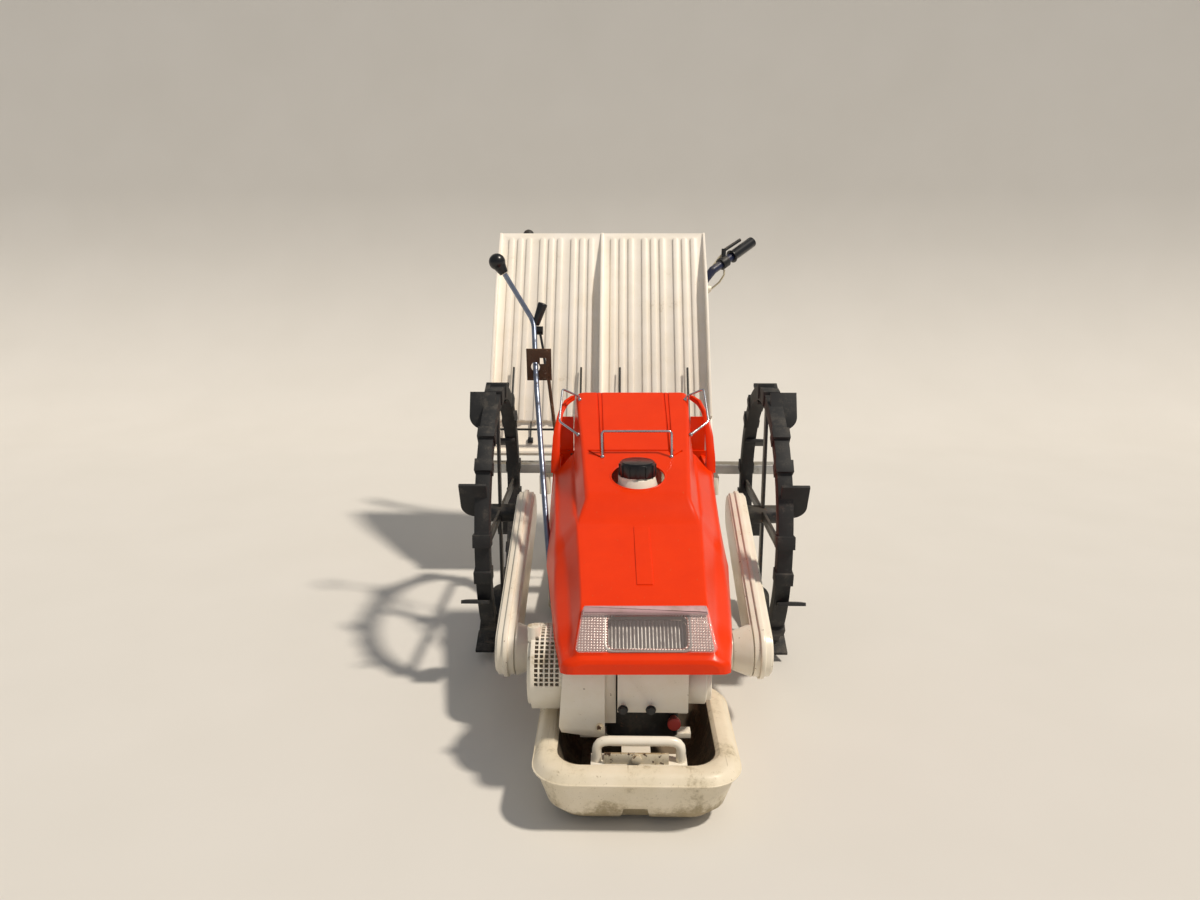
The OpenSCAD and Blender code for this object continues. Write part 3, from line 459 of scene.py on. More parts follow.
def bevel(bm: BMesh, edges: list[BMEdge], width_mm: float, segments: int, clamp: bool = True) -> None:
    """Rounds edges of a mesh.

    Args:
        bm: Mesh to change.
        edges: Edges to round.
        width_mm: Width of the rounding.
        segments: Faces across the rounding.
        clamp: Whether the width shrinks where the mesh leaves too little room.
    """
    bmesh.ops.bevel(bm, geom=edges, offset=width_mm * MM, offset_type="OFFSET", segments=segments,
                    profile=0.5, affect="EDGES", material=-1, clamp_overlap=clamp)


def soften(bm: BMesh, width_mm: float, segments: int = 2) -> None:
    """Rounds all sharp edges of a mesh.

    Args:
        bm: Mesh to change.
        width_mm: Width of the rounding.
        segments: Faces across the rounding.
    """
    bm.normal_update()
    sharp = [e for e in bm.edges if len(e.link_faces) == 2 and e.calc_face_angle(0.0) > SHARP_TURN]
    bevel(bm, sharp, width_mm, segments)


def finish_piece(bm: BMesh, name: str, finish: Finish, stands_for: tuple[str, ...] = (),
                 smooth: float = 35.0, body: str = "machine") -> Object:
    """Turns a bmesh into a dressed piece that rides on a body.

    Args:
        bm: Mesh in the frame's own place; it is used up.
        name: Name of the piece.
        finish: Finish of the piece, which belongs to one slot of the record.
        stands_for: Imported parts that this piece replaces.
        smooth: Edges that turn by fewer degrees than this are shaded smooth.
        body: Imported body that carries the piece.

    Returns:
        The object.
    """
    mesh = bpy.data.meshes.new(name)
    bm.to_mesh(mesh)
    bm.free()
    mesh.shade_smooth()
    mesh.set_sharp_from_angle(angle=math.radians(smooth))
    mesh.materials.clear()
    mesh.materials.append(PAINTS.get(finish))
    for face in mesh.polygons:
        face.material_index = 0
    piece = new_object(name, mesh)
    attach(piece, body)
    if stands_for:
        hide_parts(*stands_for)
    return piece


def from_axle(spot: Point | Vector) -> Vector:
    """Turns a place in millimetres from the axle into a place in the frame."""
    return Vector(spot) * MM + AXLE


def rounded(points: list[Vector], reach: float, steps: int) -> list[Vector]:
    """Rounds the inner corners of a path.

    Args:
        points: Corners of the path.
        reach: Distance from a corner at which its curve starts, at most 45% of a stretch.
        steps: Stretches in each curve.

    Returns:
        The path, with the same number of points for each corner.
    """
    path = [points[0]]
    for before, corner, after in zip(points, points[1:], points[2:]):
        start = corner + (before - corner) * min(0.45, reach / max((before - corner).length, 1e-9))
        end = corner + (after - corner) * min(0.45, reach / max((after - corner).length, 1e-9))
        for i in range(steps + 1):
            t = i / steps
            path.append(start * (1 - t) ** 2 + corner * 2 * t * (1 - t) + end * t ** 2)
    return path + [points[-1]]


def loft(bm: BMesh, rings: list[list[Vector]]) -> list[list[BMVert]]:
    """Joins closed rings of equal length into one skin that is open at both ends.

    Args:
        bm: Mesh that gets the skin.
        rings: Points of each ring in order.

    Returns:
        The vertices of each ring.
    """
    made = []
    before: list[BMEdge] = []
    for ring in rings:
        verts = [bm.verts.new(p) for p in ring]
        edges = [bm.edges.new(pair) for pair in zip(verts, verts[1:] + verts[:1])]
        if before:
            bmesh.ops.bridge_loops(bm, edges=before + edges)
        made.append(verts)
        before = edges
    return made


def close_ring(bm: BMesh, ring: list[BMVert]) -> BMFace:
    """Closes a ring of vertices with one face.

    Args:
        bm: Mesh that holds the ring.
        ring: The ring's vertices.

    Returns:
        The new face.
    """
    edges = [e for e in bm.edges if all(v in ring for v in e.verts)]
    return bmesh.ops.contextual_create(bm, geom=edges)["faces"][0]


def tube(bm: BMesh, corners: list[Vector], radius_mm: float, bend_mm: float, cyclic: bool = False) -> None:
    """Adds a round bar along a path.

    Args:
        bm: Mesh that gets the bar.
        corners: Corners of the path in metres.
        radius_mm: Radius of the bar.
        bend_mm: Distance from a corner at which its bend starts.
        cyclic: Whether the path closes on itself, which leaves its corners as they are.
    """
    path = corners if cyclic else rounded(corners, bend_mm * MM, 6)
    line = bpy.data.curves.new("path", "CURVE")
    line.dimensions = "3D"
    line.bevel_depth = radius_mm * MM
    line.bevel_resolution = 3
    line.use_fill_caps = not cyclic
    spline = line.splines.new("POLY")
    spline.points.add(len(path) - 1)
    for point, place in zip(spline.points, path):
        point.co = (*place, 1.0)
    spline.use_cyclic_u = cyclic
    holder = bpy.data.objects.new("path", line)
    mesh = holder.to_mesh()
    bm.from_mesh(mesh)
    holder.to_mesh_clear()
    bpy.data.objects.remove(holder)
    bpy.data.curves.remove(line)


def box(bm: BMesh, place: Matrix, size_mm: Point) -> None:
    """Adds a box of the given size, centred on a place.

    Args:
        bm: Mesh that gets the box.
        place: Place and turn of its centre.
        size_mm: Its three sizes.
    """
    scale = Matrix.Diagonal((size_mm[0] * MM, size_mm[1] * MM, size_mm[2] * MM, 1.0))
    bmesh.ops.create_cube(bm, size=1.0, matrix=place @ scale)


def cone(bm: BMesh, place: Matrix, radii_mm: tuple[float, float], length_mm: float, segments: int,
         caps: bool = True) -> None:
    """Adds a cone or a round bar, centred on a place and upright in it.

    Args:
        bm: Mesh that gets it.
        place: Place and turn of its centre.
        radii_mm: Radius at its lower and at its upper end.
        length_mm: Its length.
        segments: Faces round it.
        caps: Whether its ends are closed.
    """
    bmesh.ops.create_cone(bm, cap_ends=caps, segments=segments, radius1=radii_mm[0] * MM,
                          radius2=radii_mm[1] * MM, depth=length_mm * MM, matrix=place)


def absorb(bm: BMesh, other: BMesh) -> None:
    """Moves the faces of one mesh into another.

    Args:
        bm: Mesh that gets them.
        other: Mesh that gives them; it is used up.
    """
    mesh = bpy.data.meshes.new("absorbed")
    other.to_mesh(mesh)
    other.free()
    bm.from_mesh(mesh)
    bpy.data.meshes.remove(mesh)


def carved(bm: BMesh, cutter: BMesh) -> BMesh:
    """Takes one closed mesh away from another.

    Args:
        bm: Mesh that is cut; it is used up.
        cutter: Mesh that is taken away; it is used up.

    Returns:
        The rest.
    """
    pair = []
    for name, source in (("whole", bm), ("cutter", cutter)):
        face_outward(source)
        mesh = bpy.data.meshes.new(name)
        source.to_mesh(mesh)
        source.free()
        pair.append(new_object(name, mesh))
    cut = pair[0].modifiers.new("cut", "BOOLEAN")
    cut.operation = "DIFFERENCE"
    cut.solver = "EXACT"
    cut.use_self = True
    cut.object = pair[1]
    bpy.context.view_layer.update()
    result = bmesh.new()
    result.from_object(pair[0], bpy.context.evaluated_depsgraph_get())
    for holder in pair:
        mesh = holder.data
        bpy.data.objects.remove(holder)
        bpy.data.meshes.remove(mesh)
    return result


def even_normals(piece: Object) -> None:
    """Lets large faces set the shading, so that flat panels look flat beside their rounded edges.

    Args:
        piece: Dressed piece.
    """
    weigh = piece.modifiers.new("even_normals", "WEIGHTED_NORMAL")
    weigh.keep_sharp = True
    weigh.weight = 90


def on_hood(place: Matrix | None = None) -> Matrix:
    """Gives a place in the frame of the hood, which stands slightly turned about the axle.

    Args:
        place: Place in the hood's frame, or none for its origin.

    Returns:
        The place in the frame.
    """
    frame = Matrix.Translation(AXLE) @ Matrix.Rotation(HOOD_YAW, 4, "Z")
    return frame @ place if place else frame


def hood_spot(spot: Point) -> Vector:
    """Turns a place in millimetres in the hood's frame into a place in the frame."""
    return on_hood() @ (Vector(spot) * MM)


@dataclass(frozen=True)
class HoodRow:
    """Half section of the hood at one place: pairs of half width and height in millimetres."""

    y: float
    block_top: tuple[float, float]
    block_foot: tuple[float, float]
    shoulder: tuple[float, float]
    valley: tuple[float, float]
    rim: tuple[float, float]
    edge: tuple[float, float]

    def half(self) -> list[Vector]:
        """Gives the six points from the raised top down to the lower edge."""
        pairs = (self.block_top, self.block_foot, self.shoulder, self.valley, self.rim, self.edge)
        return [Vector((x, self.y, z)) * MM for x, z in pairs]


HOOD_ROWS = [
    HoodRow(-687, (92, 262), (97, 261.6), (102, 261), (108, 260), (116, 256), (118, 244)),
    HoodRow(-684, (96, 268), (101, 267.6), (106, 267), (114, 265), (126, 258), (128, 243)),
    HoodRow(-674, (102, 275), (107, 274.6), (112, 274), (122, 268), (137, 260), (138, 242)),
    HoodRow(-640, (100, 306.7), (105, 306.2), (110, 305.6), (121, 279), (142, 267), (143, 248)),
    HoodRow(-616, (96, 329), (101, 328.6), (106, 328), (122, 297), (146, 280), (148, 258)),
    HoodRow(-500, (101, 368), (106, 367.6), (111, 367), (131, 331), (155, 311), (161, 282)),
    HoodRow(-402, (110, 403), (113, 402.6), (117, 402), (142, 361), (158, 345), (171, 297)),
    HoodRow(-386, (112, 408), (115, 407), (119, 406), (146, 368), (159, 355), (173, 299)),
    HoodRow(-350, (99, 443), (117, 410), (124, 408), (152, 374), (160, 370), (177, 302)),
    HoodRow(-110, (118, 543), (128, 470), (134, 468), (162, 434), (172, 430), (184, 316)),
    HoodRow(-109.8, (118, 543.1), (128, 474), (128, 472), (128, 470), (128, 467), (128, 464)),
    HoodRow(-6, (126, 587), (131, 506), (131, 502), (131, 498), (131, 494), (131, 490)),
    HoodRow(0, (124, 585), (130, 504), (130, 500), (130, 496), (130, 492), (130, 488)),
]


@dataclass
class Hood:
    """Orange hood: raised top on sloping shoulders, flared skirt, lip, grooves, pad and fuel hole."""

    wall_mm: float = 3.0
    row_gap_mm: float = 18.0
    eased_rows: int = 6
    corner_mm: float = 8.0
    rear_corner_mm: float = 18.0
    rear_from_mm: float = -60.0
    rear_over_mm: float = 50.0
    lip_mm: float = 3.0
    groove_mm: float = 4.0
    groove_tall_mm: float = 4.6
    top_at: tuple[float, float] = (-110, 543)
    top_slope: float = 0.4167
    fuel_hole: Point = (2, -290, 470)
    fuel_radius: float = 40.0
    fuel_stretch: float = 1.35
    fuel_rim: tuple[float, float] = (54, 40)
    lamp_spot: Point = (4, 35, -10)
    lamp_opening: Point = (134, 60, 40)
    pad_spot: Point = (3.5, -485, 373.4)
    pad_size: Point = (28, 163, 4.4)
    pad_slope: float = 0.349

    def eased_width(self, column: list[Vector], row: int, share: float) -> float:
        """Half width between two rows on a curve that passes both without a bulge.

        Args:
            column: One point of every row.
            row: Row in front of the place.
            share: Share of the way to the next row.

        Returns:
            Half width in metres.
        """
        def slope(i: int) -> float:
            """Slope of the curve at one row.

            Args:
                i: The row.

            Returns:
                Change of half width over the way back.
            """
            if i == 0 or i >= self.eased_rows:
                near = (0, 1) if i == 0 else (i, i + 1) if row >= i else (i - 1, i)
                return (column[near[1]].x - column[near[0]].x) / (column[near[1]].y - column[near[0]].y)
            front = (column[i].x - column[i - 1].x) / (column[i].y - column[i - 1].y)
            back = (column[i + 1].x - column[i].x) / (column[i + 1].y - column[i].y)
            return 0.0 if front * back <= 0 else 2 * front * back / (front + back)

        gap = column[row + 1].y - column[row].y
        t = share
        start, end = column[row].x, column[row + 1].x
        return (start * (2 * t ** 3 - 3 * t ** 2 + 1) + end * (3 * t ** 2 - 2 * t ** 3)
                + gap * slope(row) * (t ** 3 - 2 * t ** 2 + t) + gap * slope(row + 1) * (t ** 3 - t ** 2))

    def columns(self) -> list[list[Vector]]:
        """Makes the six lines that run along the right half of the hood.

        Returns:
            Points of each line in metres, from front to rear.
        """
        lines = []
        for corner in zip(*(row.half() for row in HOOD_ROWS)):
            column = list(corner)
            line = [column[0]]
            for i, (front, back) in enumerate(zip(column, column[1:])):
                gap = HOOD_ROWS[i + 1].y - HOOD_ROWS[i].y
                count = 4 if i < 2 else max(1, math.ceil(gap / self.row_gap_mm))
                for k in range(1, count + 1):
                    point = front.lerp(back, k / count)
                    if i < self.eased_rows:
                        point.x = self.eased_width(column, i, k / count)
                    line.append(point)
            lines.append(line)
        return lines

    def rings(self) -> list[list[Vector]]:
        """Makes the closed cross rings of the skin, with corners that are rounder at the rear.

        Returns:
            Points of each ring in metres, from front to rear.
        """
        result = []
        for half in zip(*self.columns()):
            middle = Vector((0.0, half[0].y, half[0].z))
            rear = (half[0].y - self.rear_from_mm * MM) / (self.rear_over_mm * MM)
            rear = min(1.0, max(0.0, rear))
            corner_mm = self.corner_mm + (self.rear_corner_mm - self.corner_mm) * rear
            side = rounded([middle, *half], corner_mm * MM, 4)[1:]
            mirror = [Vector((-p.x, p.y, p.z)) for p in reversed(side)]
            result.append([on_hood() @ p for p in side + mirror])
        return result

    def skin(self) -> BMesh:
        """Makes the open shell with its front wall and gives it its thickness.

        Returns:
            The shell.
        """
        bm = bmesh.new()
        rings = loft(bm, self.rings())
        front = close_ring(bm, rings[0])
        lowest = {v for ring in rings for v in (ring[len(ring) // 2 - 1], ring[len(ring) // 2])}
        bottom = [f for f in bm.faces if f != front and all(v in lowest for v in f.verts)]
        bmesh.ops.delete(bm, geom=bottom, context="FACES_ONLY")
        face_outward(bm)
        bm.normal_update()
        lip = [e for e in bm.edges if len(e.link_faces) == 2 and front in e.link_faces]
        bevel(bm, lip, self.lip_mm, 3)
        face_outward(bm)
        top = max(bm.faces, key=lambda f: f.calc_center_median().z)
        top.normal_update()
        if top.normal.z < 0:
            bmesh.ops.reverse_faces(bm, faces=bm.faces)
        bmesh.ops.solidify(bm, geom=bm.faces, thickness=self.wall_mm * MM)
        return bm

    def top_height(self, y: float) -> float:
        """Height of the raised top in millimetres at a place along the machine."""
        return self.top_at[1] + (y - self.top_at[0]) * self.top_slope

    def groove(self, cutter: BMesh, start: tuple[float, float], end: tuple[float, float]) -> None:
        """Adds a narrow cutter along the raised top.

        Args:
            cutter: Mesh that gets it.
            start: x and y of one end in millimetres.
            end: x and y of the other end.
        """
        first, last = (Vector((x, y, self.top_height(y))) * MM for x, y in (start, end))
        turn = (last - first).to_track_quat("Y", "Z").to_matrix().to_4x4()
        place = Matrix.Translation((first + last) / 2) @ turn
        box(cutter, on_hood(place), (self.groove_mm, (last - first).length / MM, self.groove_tall_mm))

    def cutter(self) -> BMesh:
        """Makes the fuel hole and the lamp's opening as one cutter.

        Returns:
            The cutter.
        """
        cutter = bmesh.new()
        stretch = Matrix.Diagonal((self.fuel_stretch, 1.0, 1.0, 1.0))
        hole = Matrix.Translation(Vector(self.fuel_hole) * MM) @ stretch
        cone(cutter, on_hood(hole), (self.fuel_radius, self.fuel_radius), 120, 64)
        box(cutter, LampPlace().at(*self.lamp_spot), self.lamp_opening)
        return cutter

    def lines(self) -> BMesh:
        """Makes the cutter of the narrow grooves in the raised top.

        Returns:
            The cutter.
        """
        cutter = bmesh.new()
        for side, x_back, x_front in ((-1, -74.0, -68.0), (1, 75.0, 72.0)):
            for step_back, step_front in ((-4.5, -2.6), (4.5, 2.6)):
                self.groove(cutter, (x_back + step_back, -3), (x_front + step_front, -226))
            self.groove(cutter, (side * 96, -211), (side * 73, -231))
        self.groove(cutter, (-98, -210), (80, -210))
        return cutter

    def build(self) -> Object:
        """Makes the hood.

        Returns:
            The dressed piece.
        """
        bm = carved(carved(self.skin(), self.cutter()), self.lines())
        pad = bmesh.new()
        slope = Matrix.Rotation(math.atan(self.pad_slope), 4, "X")
        box(pad, on_hood(Matrix.Translation(Vector(self.pad_spot) * MM) @ slope), self.pad_size)
        soften(pad, 0.9)
        absorb(bm, pad)
        rim = []
        for a in (math.radians(7.5 * i) for i in range(48)):
            x = self.fuel_hole[0] + self.fuel_rim[0] * math.cos(a)
            y = self.fuel_hole[1] + self.fuel_rim[1] * math.sin(a)
            rim.append(hood_spot((x, y, self.top_height(y) - 1.2)))
        tube(bm, rim, 2.2, 0, cyclic=True)
        piece = finish_piece(bm, "worn_hood", ORANGE_ABS, ("hood",), 38)
        even_normals(piece)
        return piece


@dataclass(frozen=True)
class LampPlace:
    """Sloping seat of the lamp on the hood's front."""

    y_mm: float = -674.0
    z_mm: float = 275.0
    tilt: float = math.atan2(54.0, 58.0)

    def at(self, x: float, along: float, out: float) -> Matrix:
        """Gives a place on the seat.

        Args:
            x: Millimetres to the side.
            along: Millimetres up the seat.
            out: Millimetres out of it.

        Returns:
            Its place and turn.
        """
        seat = Matrix.Translation(Vector((0, self.y_mm, self.z_mm)) * MM) @ Matrix.Rotation(self.tilt, 4, "X")
        return on_hood(seat @ Matrix.Translation(Vector((x, along, out)) * MM))


@dataclass
class Lamp:
    """Trapezoid lamp: clear lens with bevelled sides, frosted upper band and a fluted bowl behind it."""

    place: LampPlace = LampPlace()
    flutes: int = 20
    flute_mm: float = 2.7
    flute_tall_mm: float = 54.0
    flutes_from: float = -54.5
    flutes_over: float = 117.0
    lens: Outline = ((-114, 0), (116, 0), (104, 79.2), (-102, 79.2))
    band: Outline = ((-101.6, 64), (103.6, 64), (102, 78), (-100, 78))
    base: Outline = ((-111, 3), (111, 3), (100, 76), (-100, 76))
    window: Outline = ((-61, 7), (69, 7), (69, 64), (-61, 64))
    bowl_rim: Outline = ((-62, 6), (70, 6), (70, 65), (-62, 65))
    bowl_steps: Outline = ((0.0, -18.0), (0.0, -8.0), (0.5, 1.5), (2.5, 2.7), (4.5, 2.7), (5.5, 0.4))

    def slab(self, corners: Outline, low: float, high: float, corner_mm: float, edge_mm: float) -> BMesh:
        """Makes a plate on the lamp's seat with rounded corners and edges.

        Args:
            corners: Outline as places to the side and up the seat.
            low: Height of its underside over the seat.
            high: Height of its upper side.
            corner_mm: Rounding of the outline.
            edge_mm: Rounding of the upper edge.

        Returns:
            The plate.
        """
        bm = bmesh.new()
        face = bm.faces.new([bm.verts.new(Vector((x, v, low)) * MM) for x, v in corners])
        raised = bmesh.ops.extrude_face_region(bm, geom=[face])["geom"]
        moved = [g for g in raised if isinstance(g, BMVert)]
        bmesh.ops.translate(bm, verts=moved, vec=(0, 0, (high - low) * MM))
        upright = [e for e in bm.edges if abs(e.verts[0].co.z - e.verts[1].co.z) > 1e-6]
        bevel(bm, upright, corner_mm, 5, clamp=False)
        top = [e for e in bm.edges if all(v.co.z > high * MM - 1e-6 for v in e.verts)]
        bevel(bm, top, edge_mm, 3, clamp=False)
        face_outward(bm)
        bm.transform(self.place.at(0, 0, 0))
        return bm

    def bowl(self) -> BMesh:
        """Makes the silvered plate with its sunk bowl and upright flutes.

        Returns:
            The plate.
        """
        bm = self.slab(self.window, -20, -17, 12, 0.5)
        rim = [Vector((*p, 0)) for p in self.bowl_rim]
        rings = []
        for grow, out in self.bowl_steps:
            ring = []
            for i, corner in enumerate(rim):
                away = Vector((1 if corner.x > 0 else -1, 1 if corner.y > 30 else -1, 0)) * grow
                before, after = (rim[i - 1] + corner) / 2, (corner + rim[(i + 1) % 4]) / 2
                bent = rounded([before + away, corner + away, after + away], 14, 5)
                ring += [self.place.at(p.x, p.y, out).translation for p in bent[1:-1]]
            rings.append(ring)
        loft(bm, rings)
        upright = Matrix.Rotation(math.pi / 2, 4, "X")
        for i in range(self.flutes):
            x = self.flutes_from + self.flutes_over * i / (self.flutes - 1)
            place = self.place.at(x, 35.5, -16.8) @ upright
            cone(bm, place, (self.flute_mm, self.flute_mm), self.flute_tall_mm, 12)
        return bm

    def build(self) -> None:
        """Makes the bowl, the base, the lens and the frosted band."""
        finish_piece(self.bowl(), "worn_lamp_reflector", SILVERED, ("lamp_reflector",))
        lens = self.slab(self.lens, 2.8, 10.5, 8, 3.2)
        finish_piece(lens, "worn_lamp_lens", ClearLens(), ("lamp_lens",))
        band = self.slab(self.band, 3.4, 11.2, 1.5, 2.6)
        finish_piece(band, "lamp_frosted_band", FROSTED)
        base = self.slab(self.base, 0.4, 2.2, 5, 0.5)
        finish_piece(carved(base, self.slab(self.window, -2, 5, 12, 0.2)), "lamp_prism_base", PrismPlate())


@dataclass
class GuardWires:
    """Bright wires that keep the cables and the tank's lid off the hood, with small ball feet."""

    radius_mm: float = 2.4
    foot_mm: float = 4.4
    side: tuple[Point, ...] = ((117, -33, 575.5), (119, -34, 583), (154, -60, 604), (159, -122, 544),
                               (118.5, -153, 522))
    bridge: tuple[Point, ...] = ((-67.5, -232, 493), (-69, -229, 545), (72, -229, 545), (72.3, -232, 493))

    def build(self) -> Object:
        """Makes the three wires.

        Returns:
            The dressed piece.
        """
        bm = bmesh.new()
        for path in (self.bridge, self.side, [(-x, y, z) for x, y, z in self.side]):
            spots = [hood_spot(p) for p in path]
            tube(bm, spots, self.radius_mm, 7)
            for foot in (spots[0], spots[-1]):
                bmesh.ops.create_uvsphere(bm, u_segments=12, v_segments=8, radius=self.foot_mm * MM,
                                          matrix=Matrix.Translation(foot))
        return finish_piece(bm, "worn_guard_wires", ZINC_STEEL, ("guard_wires",), 60)


@dataclass
class Float:
    """Blow-moulded float with its thin mould seam and the notch under its nose."""

    half_mm: float = 168.2
    front_mm: float = -765.2
    back_mm: float = -437.8
    corner_mm: float = 63.0
    seam_mm: float = 94.6
    ridge_mm: float = 1.6
    notch_spot: Point = (-2, -752, 0)
    notch_radii: tuple[float, float] = (48, 27)
    notch_tall_mm: float = 84.0

    def outline(self) -> list[Vector]:
        """Gives the seam's line round the tub.

        Returns:
            Points in metres.
        """
        points = []
        corners = ((1, self.back_mm), (-1, self.back_mm), (-1, self.front_mm), (1, self.front_mm))
        for i, (side, y) in enumerate(corners):
            inward = -self.corner_mm if i < 2 else self.corner_mm
            middle = Vector((side * (self.half_mm - self.corner_mm), y + inward, self.seam_mm))
            for k in range(9):
                a = math.radians(90 * i + 11.25 * k)
                points.append(from_axle(middle + Vector((math.cos(a), math.sin(a), 0)) * self.corner_mm))
        return points

    def build(self) -> Object:
        """Makes the float.

        Returns:
            The dressed piece.
        """
        bm = merged("float")
        soften(bm, 3.0)
        notch = bmesh.new()
        place = Matrix.Translation(from_axle(self.notch_spot)) @ Matrix.Diagonal((1, 1.4, 1, 1))
        cone(notch, place @ Matrix.Rotation(math.pi / 4, 4, "Z"), self.notch_radii, self.notch_tall_mm, 4)
        bm = carved(bm, notch)
        tube(bm, self.outline(), self.ridge_mm, 0, cyclic=True)
        return finish_piece(bm, "worn_float", FLOAT_PE, ("float",))


@dataclass
class TubMudAndShade:
    """Film of oily mud and painted shade on the inside of the float's tub: a dark sheet where the engine's
    shade falls.
    """

    half_mm: float = 131.0
    front_mm: float = -728.0
    back_mm: float = -474.0
    floor_mm: float = 4.0
    top_mm: float = 93.0
    lift_mm: float = 0.7
    film_mm: float = 0.4

    def lines_tub(self, face: BMFace) -> bool:
        """Tells whether a face of the float looks into the tub.

        Args:
            face: Face of the float.

        Returns:
            True for the faces that the mud covers.
        """
        spot = face.calc_center_median() - AXLE
        middle = Vector((0, (self.front_mm + self.back_mm) / 2 * MM, self.top_mm * MM))
        inside = abs(spot.x) < self.half_mm * MM and self.front_mm * MM < spot.y < self.back_mm * MM
        inside = inside and self.floor_mm * MM < spot.z < self.top_mm * MM
        return inside and face.normal.dot(middle - spot) > 0

    def build(self) -> Object:
        """Makes the film.

        Returns:
            The dressed piece.
        """
        bm = merged("float")
        bm.normal_update()
        bmesh.ops.delete(bm, geom=[f for f in bm.faces if not self.lines_tub(f)], context="FACES")
        bm.normal_update()
        for vert in bm.verts:
            vert.co += vert.normal * self.lift_mm * MM
        bmesh.ops.solidify(bm, geom=bm.faces[:], thickness=self.film_mm * MM)
        return finish_piece(bm, "tub_mud_and_painted_shade", TUB_MUD_AND_SHADE)


@dataclass
class HoodLoop:
    """Flat orange band that arches from a cowl to the hood's rear corner, with two panels behind the cowl."""

    side: Side
    width_mm: float = 26.0
    thick_mm: float = 20.0
    thinning: float = 0.45
    path: tuple[Point, ...] = ((169, -96, 426), (169, -92, 462), (167, -68, 508), (160, -42, 546),
                               (149, -24, 566), (132.5, -14, 577))
    section: Outline = ((-1, -0.6), (-0.85, -1), (0.85, -1), (1, -0.6), (1, 0.6), (0.85, 1), (-0.85, 1),
                        (-1, 0.6))
    panels: tuple[tuple[Point, Point], ...] = (((149, -6, 486), (34, 4, 92)), ((150, -10, 434), (44, 5, 40)))

    def rings(self) -> list[list[Vector]]:
        """Makes the band's cross sections on its own side, from the cowl up.

        Returns:
            Points of each section in metres.
        """
        line = rounded([Vector(p) for p in self.path], 14, 5)
        result = []
        for i, spot in enumerate(line):
            share = i / (len(line) - 1)
            ahead = (line[min(i + 1, len(line) - 1)] - line[max(i - 1, 0)]).normalized()
            across = (Vector((0, 1, 0)) - ahead * ahead.y).normalized()
            out = ahead.cross(across).normalized()
            half_width = self.width_mm * (1 - self.thinning * share) / 2
            half_thick = self.thick_mm * (1 - self.thinning * min(1.0, 1.6 * share)) / 2
            corners = [spot + across * a * half_width + out * b * half_thick for a, b in self.section]
            result.append([hood_spot((self.side.sign * p.x, p.y, p.z)) for p in corners])
        return result

    def build(self) -> Object:
        """Makes the band and the panels.

        Returns:
            The dressed piece.
        """
        bm = bmesh.new()
        made = loft(bm, self.rings())
        for ring in (made[0], made[-1]):
            close_ring(bm, ring)
        for (x, y, z), size in self.panels:
            box(bm, on_hood(Matrix.Translation(Vector((self.side.sign * x, y, z)) * MM)), size)
        face_outward(bm)
        return finish_piece(bm, "hood_loop_" + self.side, ORANGE_ABS)


@dataclass
class Tray:
    """Seedling tray with lane walls that run out towards its upper end."""

    seat: Point = (-80, 378, 352)
    slope_deg: float = 56.7
    length_mm: float = 700.0
    taper_mm: float = 190.0
    wall_mm: float = 42.0
    end_mm: float = 9.0
    cutter_size: Point = (700, 300, 80)

    def build(self) -> Object:
        """Makes the tray.

        Returns:
            The dressed piece.
        """
        fall = math.atan((self.wall_mm - self.end_mm) / self.taper_mm)
        slope = Matrix.Rotation(math.radians(self.slope_deg), 4, "X")
        seat = Matrix.Translation(from_axle(self.seat)) @ slope
        middle = Vector((0, self.length_mm - self.taper_mm / 2, (self.wall_mm + self.end_mm) / 2)) * MM
        lift = Matrix.Translation((0, 0, self.cutter_size[2] / 2 * MM))
        cutter = bmesh.new()
        place = seat @ Matrix.Translation(middle) @ Matrix.Rotation(-fall, 4, "X") @ lift
        box(cutter, place, self.cutter_size)
        bm = carved(merged("tray"), cutter)
        soften(bm, 1.5)
        return finish_piece(bm, "worn_tray", TRAY_ABS, ("tray",), body="tray")


@dataclass
class ThrottleLever:
    """Short lever over the gate plate: thin rod, knuckle and a tilted hand grip."""

    rod: tuple[Point, ...] = ((-196, 19.8, 640), (-204, 60, 676), (-214, 98, 712))
    knuckle: Point = (-215, 100, 715)
    grip: tuple[Point, Point] = ((-224, 100, 728), (-206, 100, 778))

    def build(self) -> Object:
        """Makes the lever.

        Returns:
            The dressed piece.
        """
        bm = bmesh.new()
        tube(bm, [from_axle(p) for p in self.rod], 3.0, 12)
        across = Matrix.Rotation(math.pi / 2, 4, "Y")
        cone(bm, Matrix.Translation(from_axle(self.knuckle)) @ across, (10, 10), 16, 24)
        low, high = (from_axle(p) for p in self.grip)
        turn = (high - low).to_track_quat("Z", "Y").to_matrix().to_4x4()
        handle = bmesh.new()
        cone(handle, Matrix.Translation((low + high) / 2) @ turn, (8.5, 11.5), (high - low).length / MM, 32)
        soften(handle, 3.5, segments=4)
        absorb(bm, handle)
        return finish_piece(bm, "worn_throttle_lever", BLACK_PVC, ("throttle_lever",))


@dataclass
class ShiftLever:
    """Long round rod that leans past the hood's left flank up to its knob."""

    radius_mm: float = 6.0
    path: tuple[Point, ...] = ((-95, -352, 214), (-158, -352, 214), (-182, -212, 375), (-216, 0, 620),
                               (-228, 100, 735), (-294, 100, 845))

    def build(self) -> Object:
        """Makes the rod.

        Returns:
            The dressed piece.
        """
        bm = bmesh.new()
        tube(bm, [from_axle(p) for p in self.path], self.radius_mm, 20)
        return finish_piece(bm, "worn_shift_lever", BLUED_STEEL, ("shift_lever",), 60)


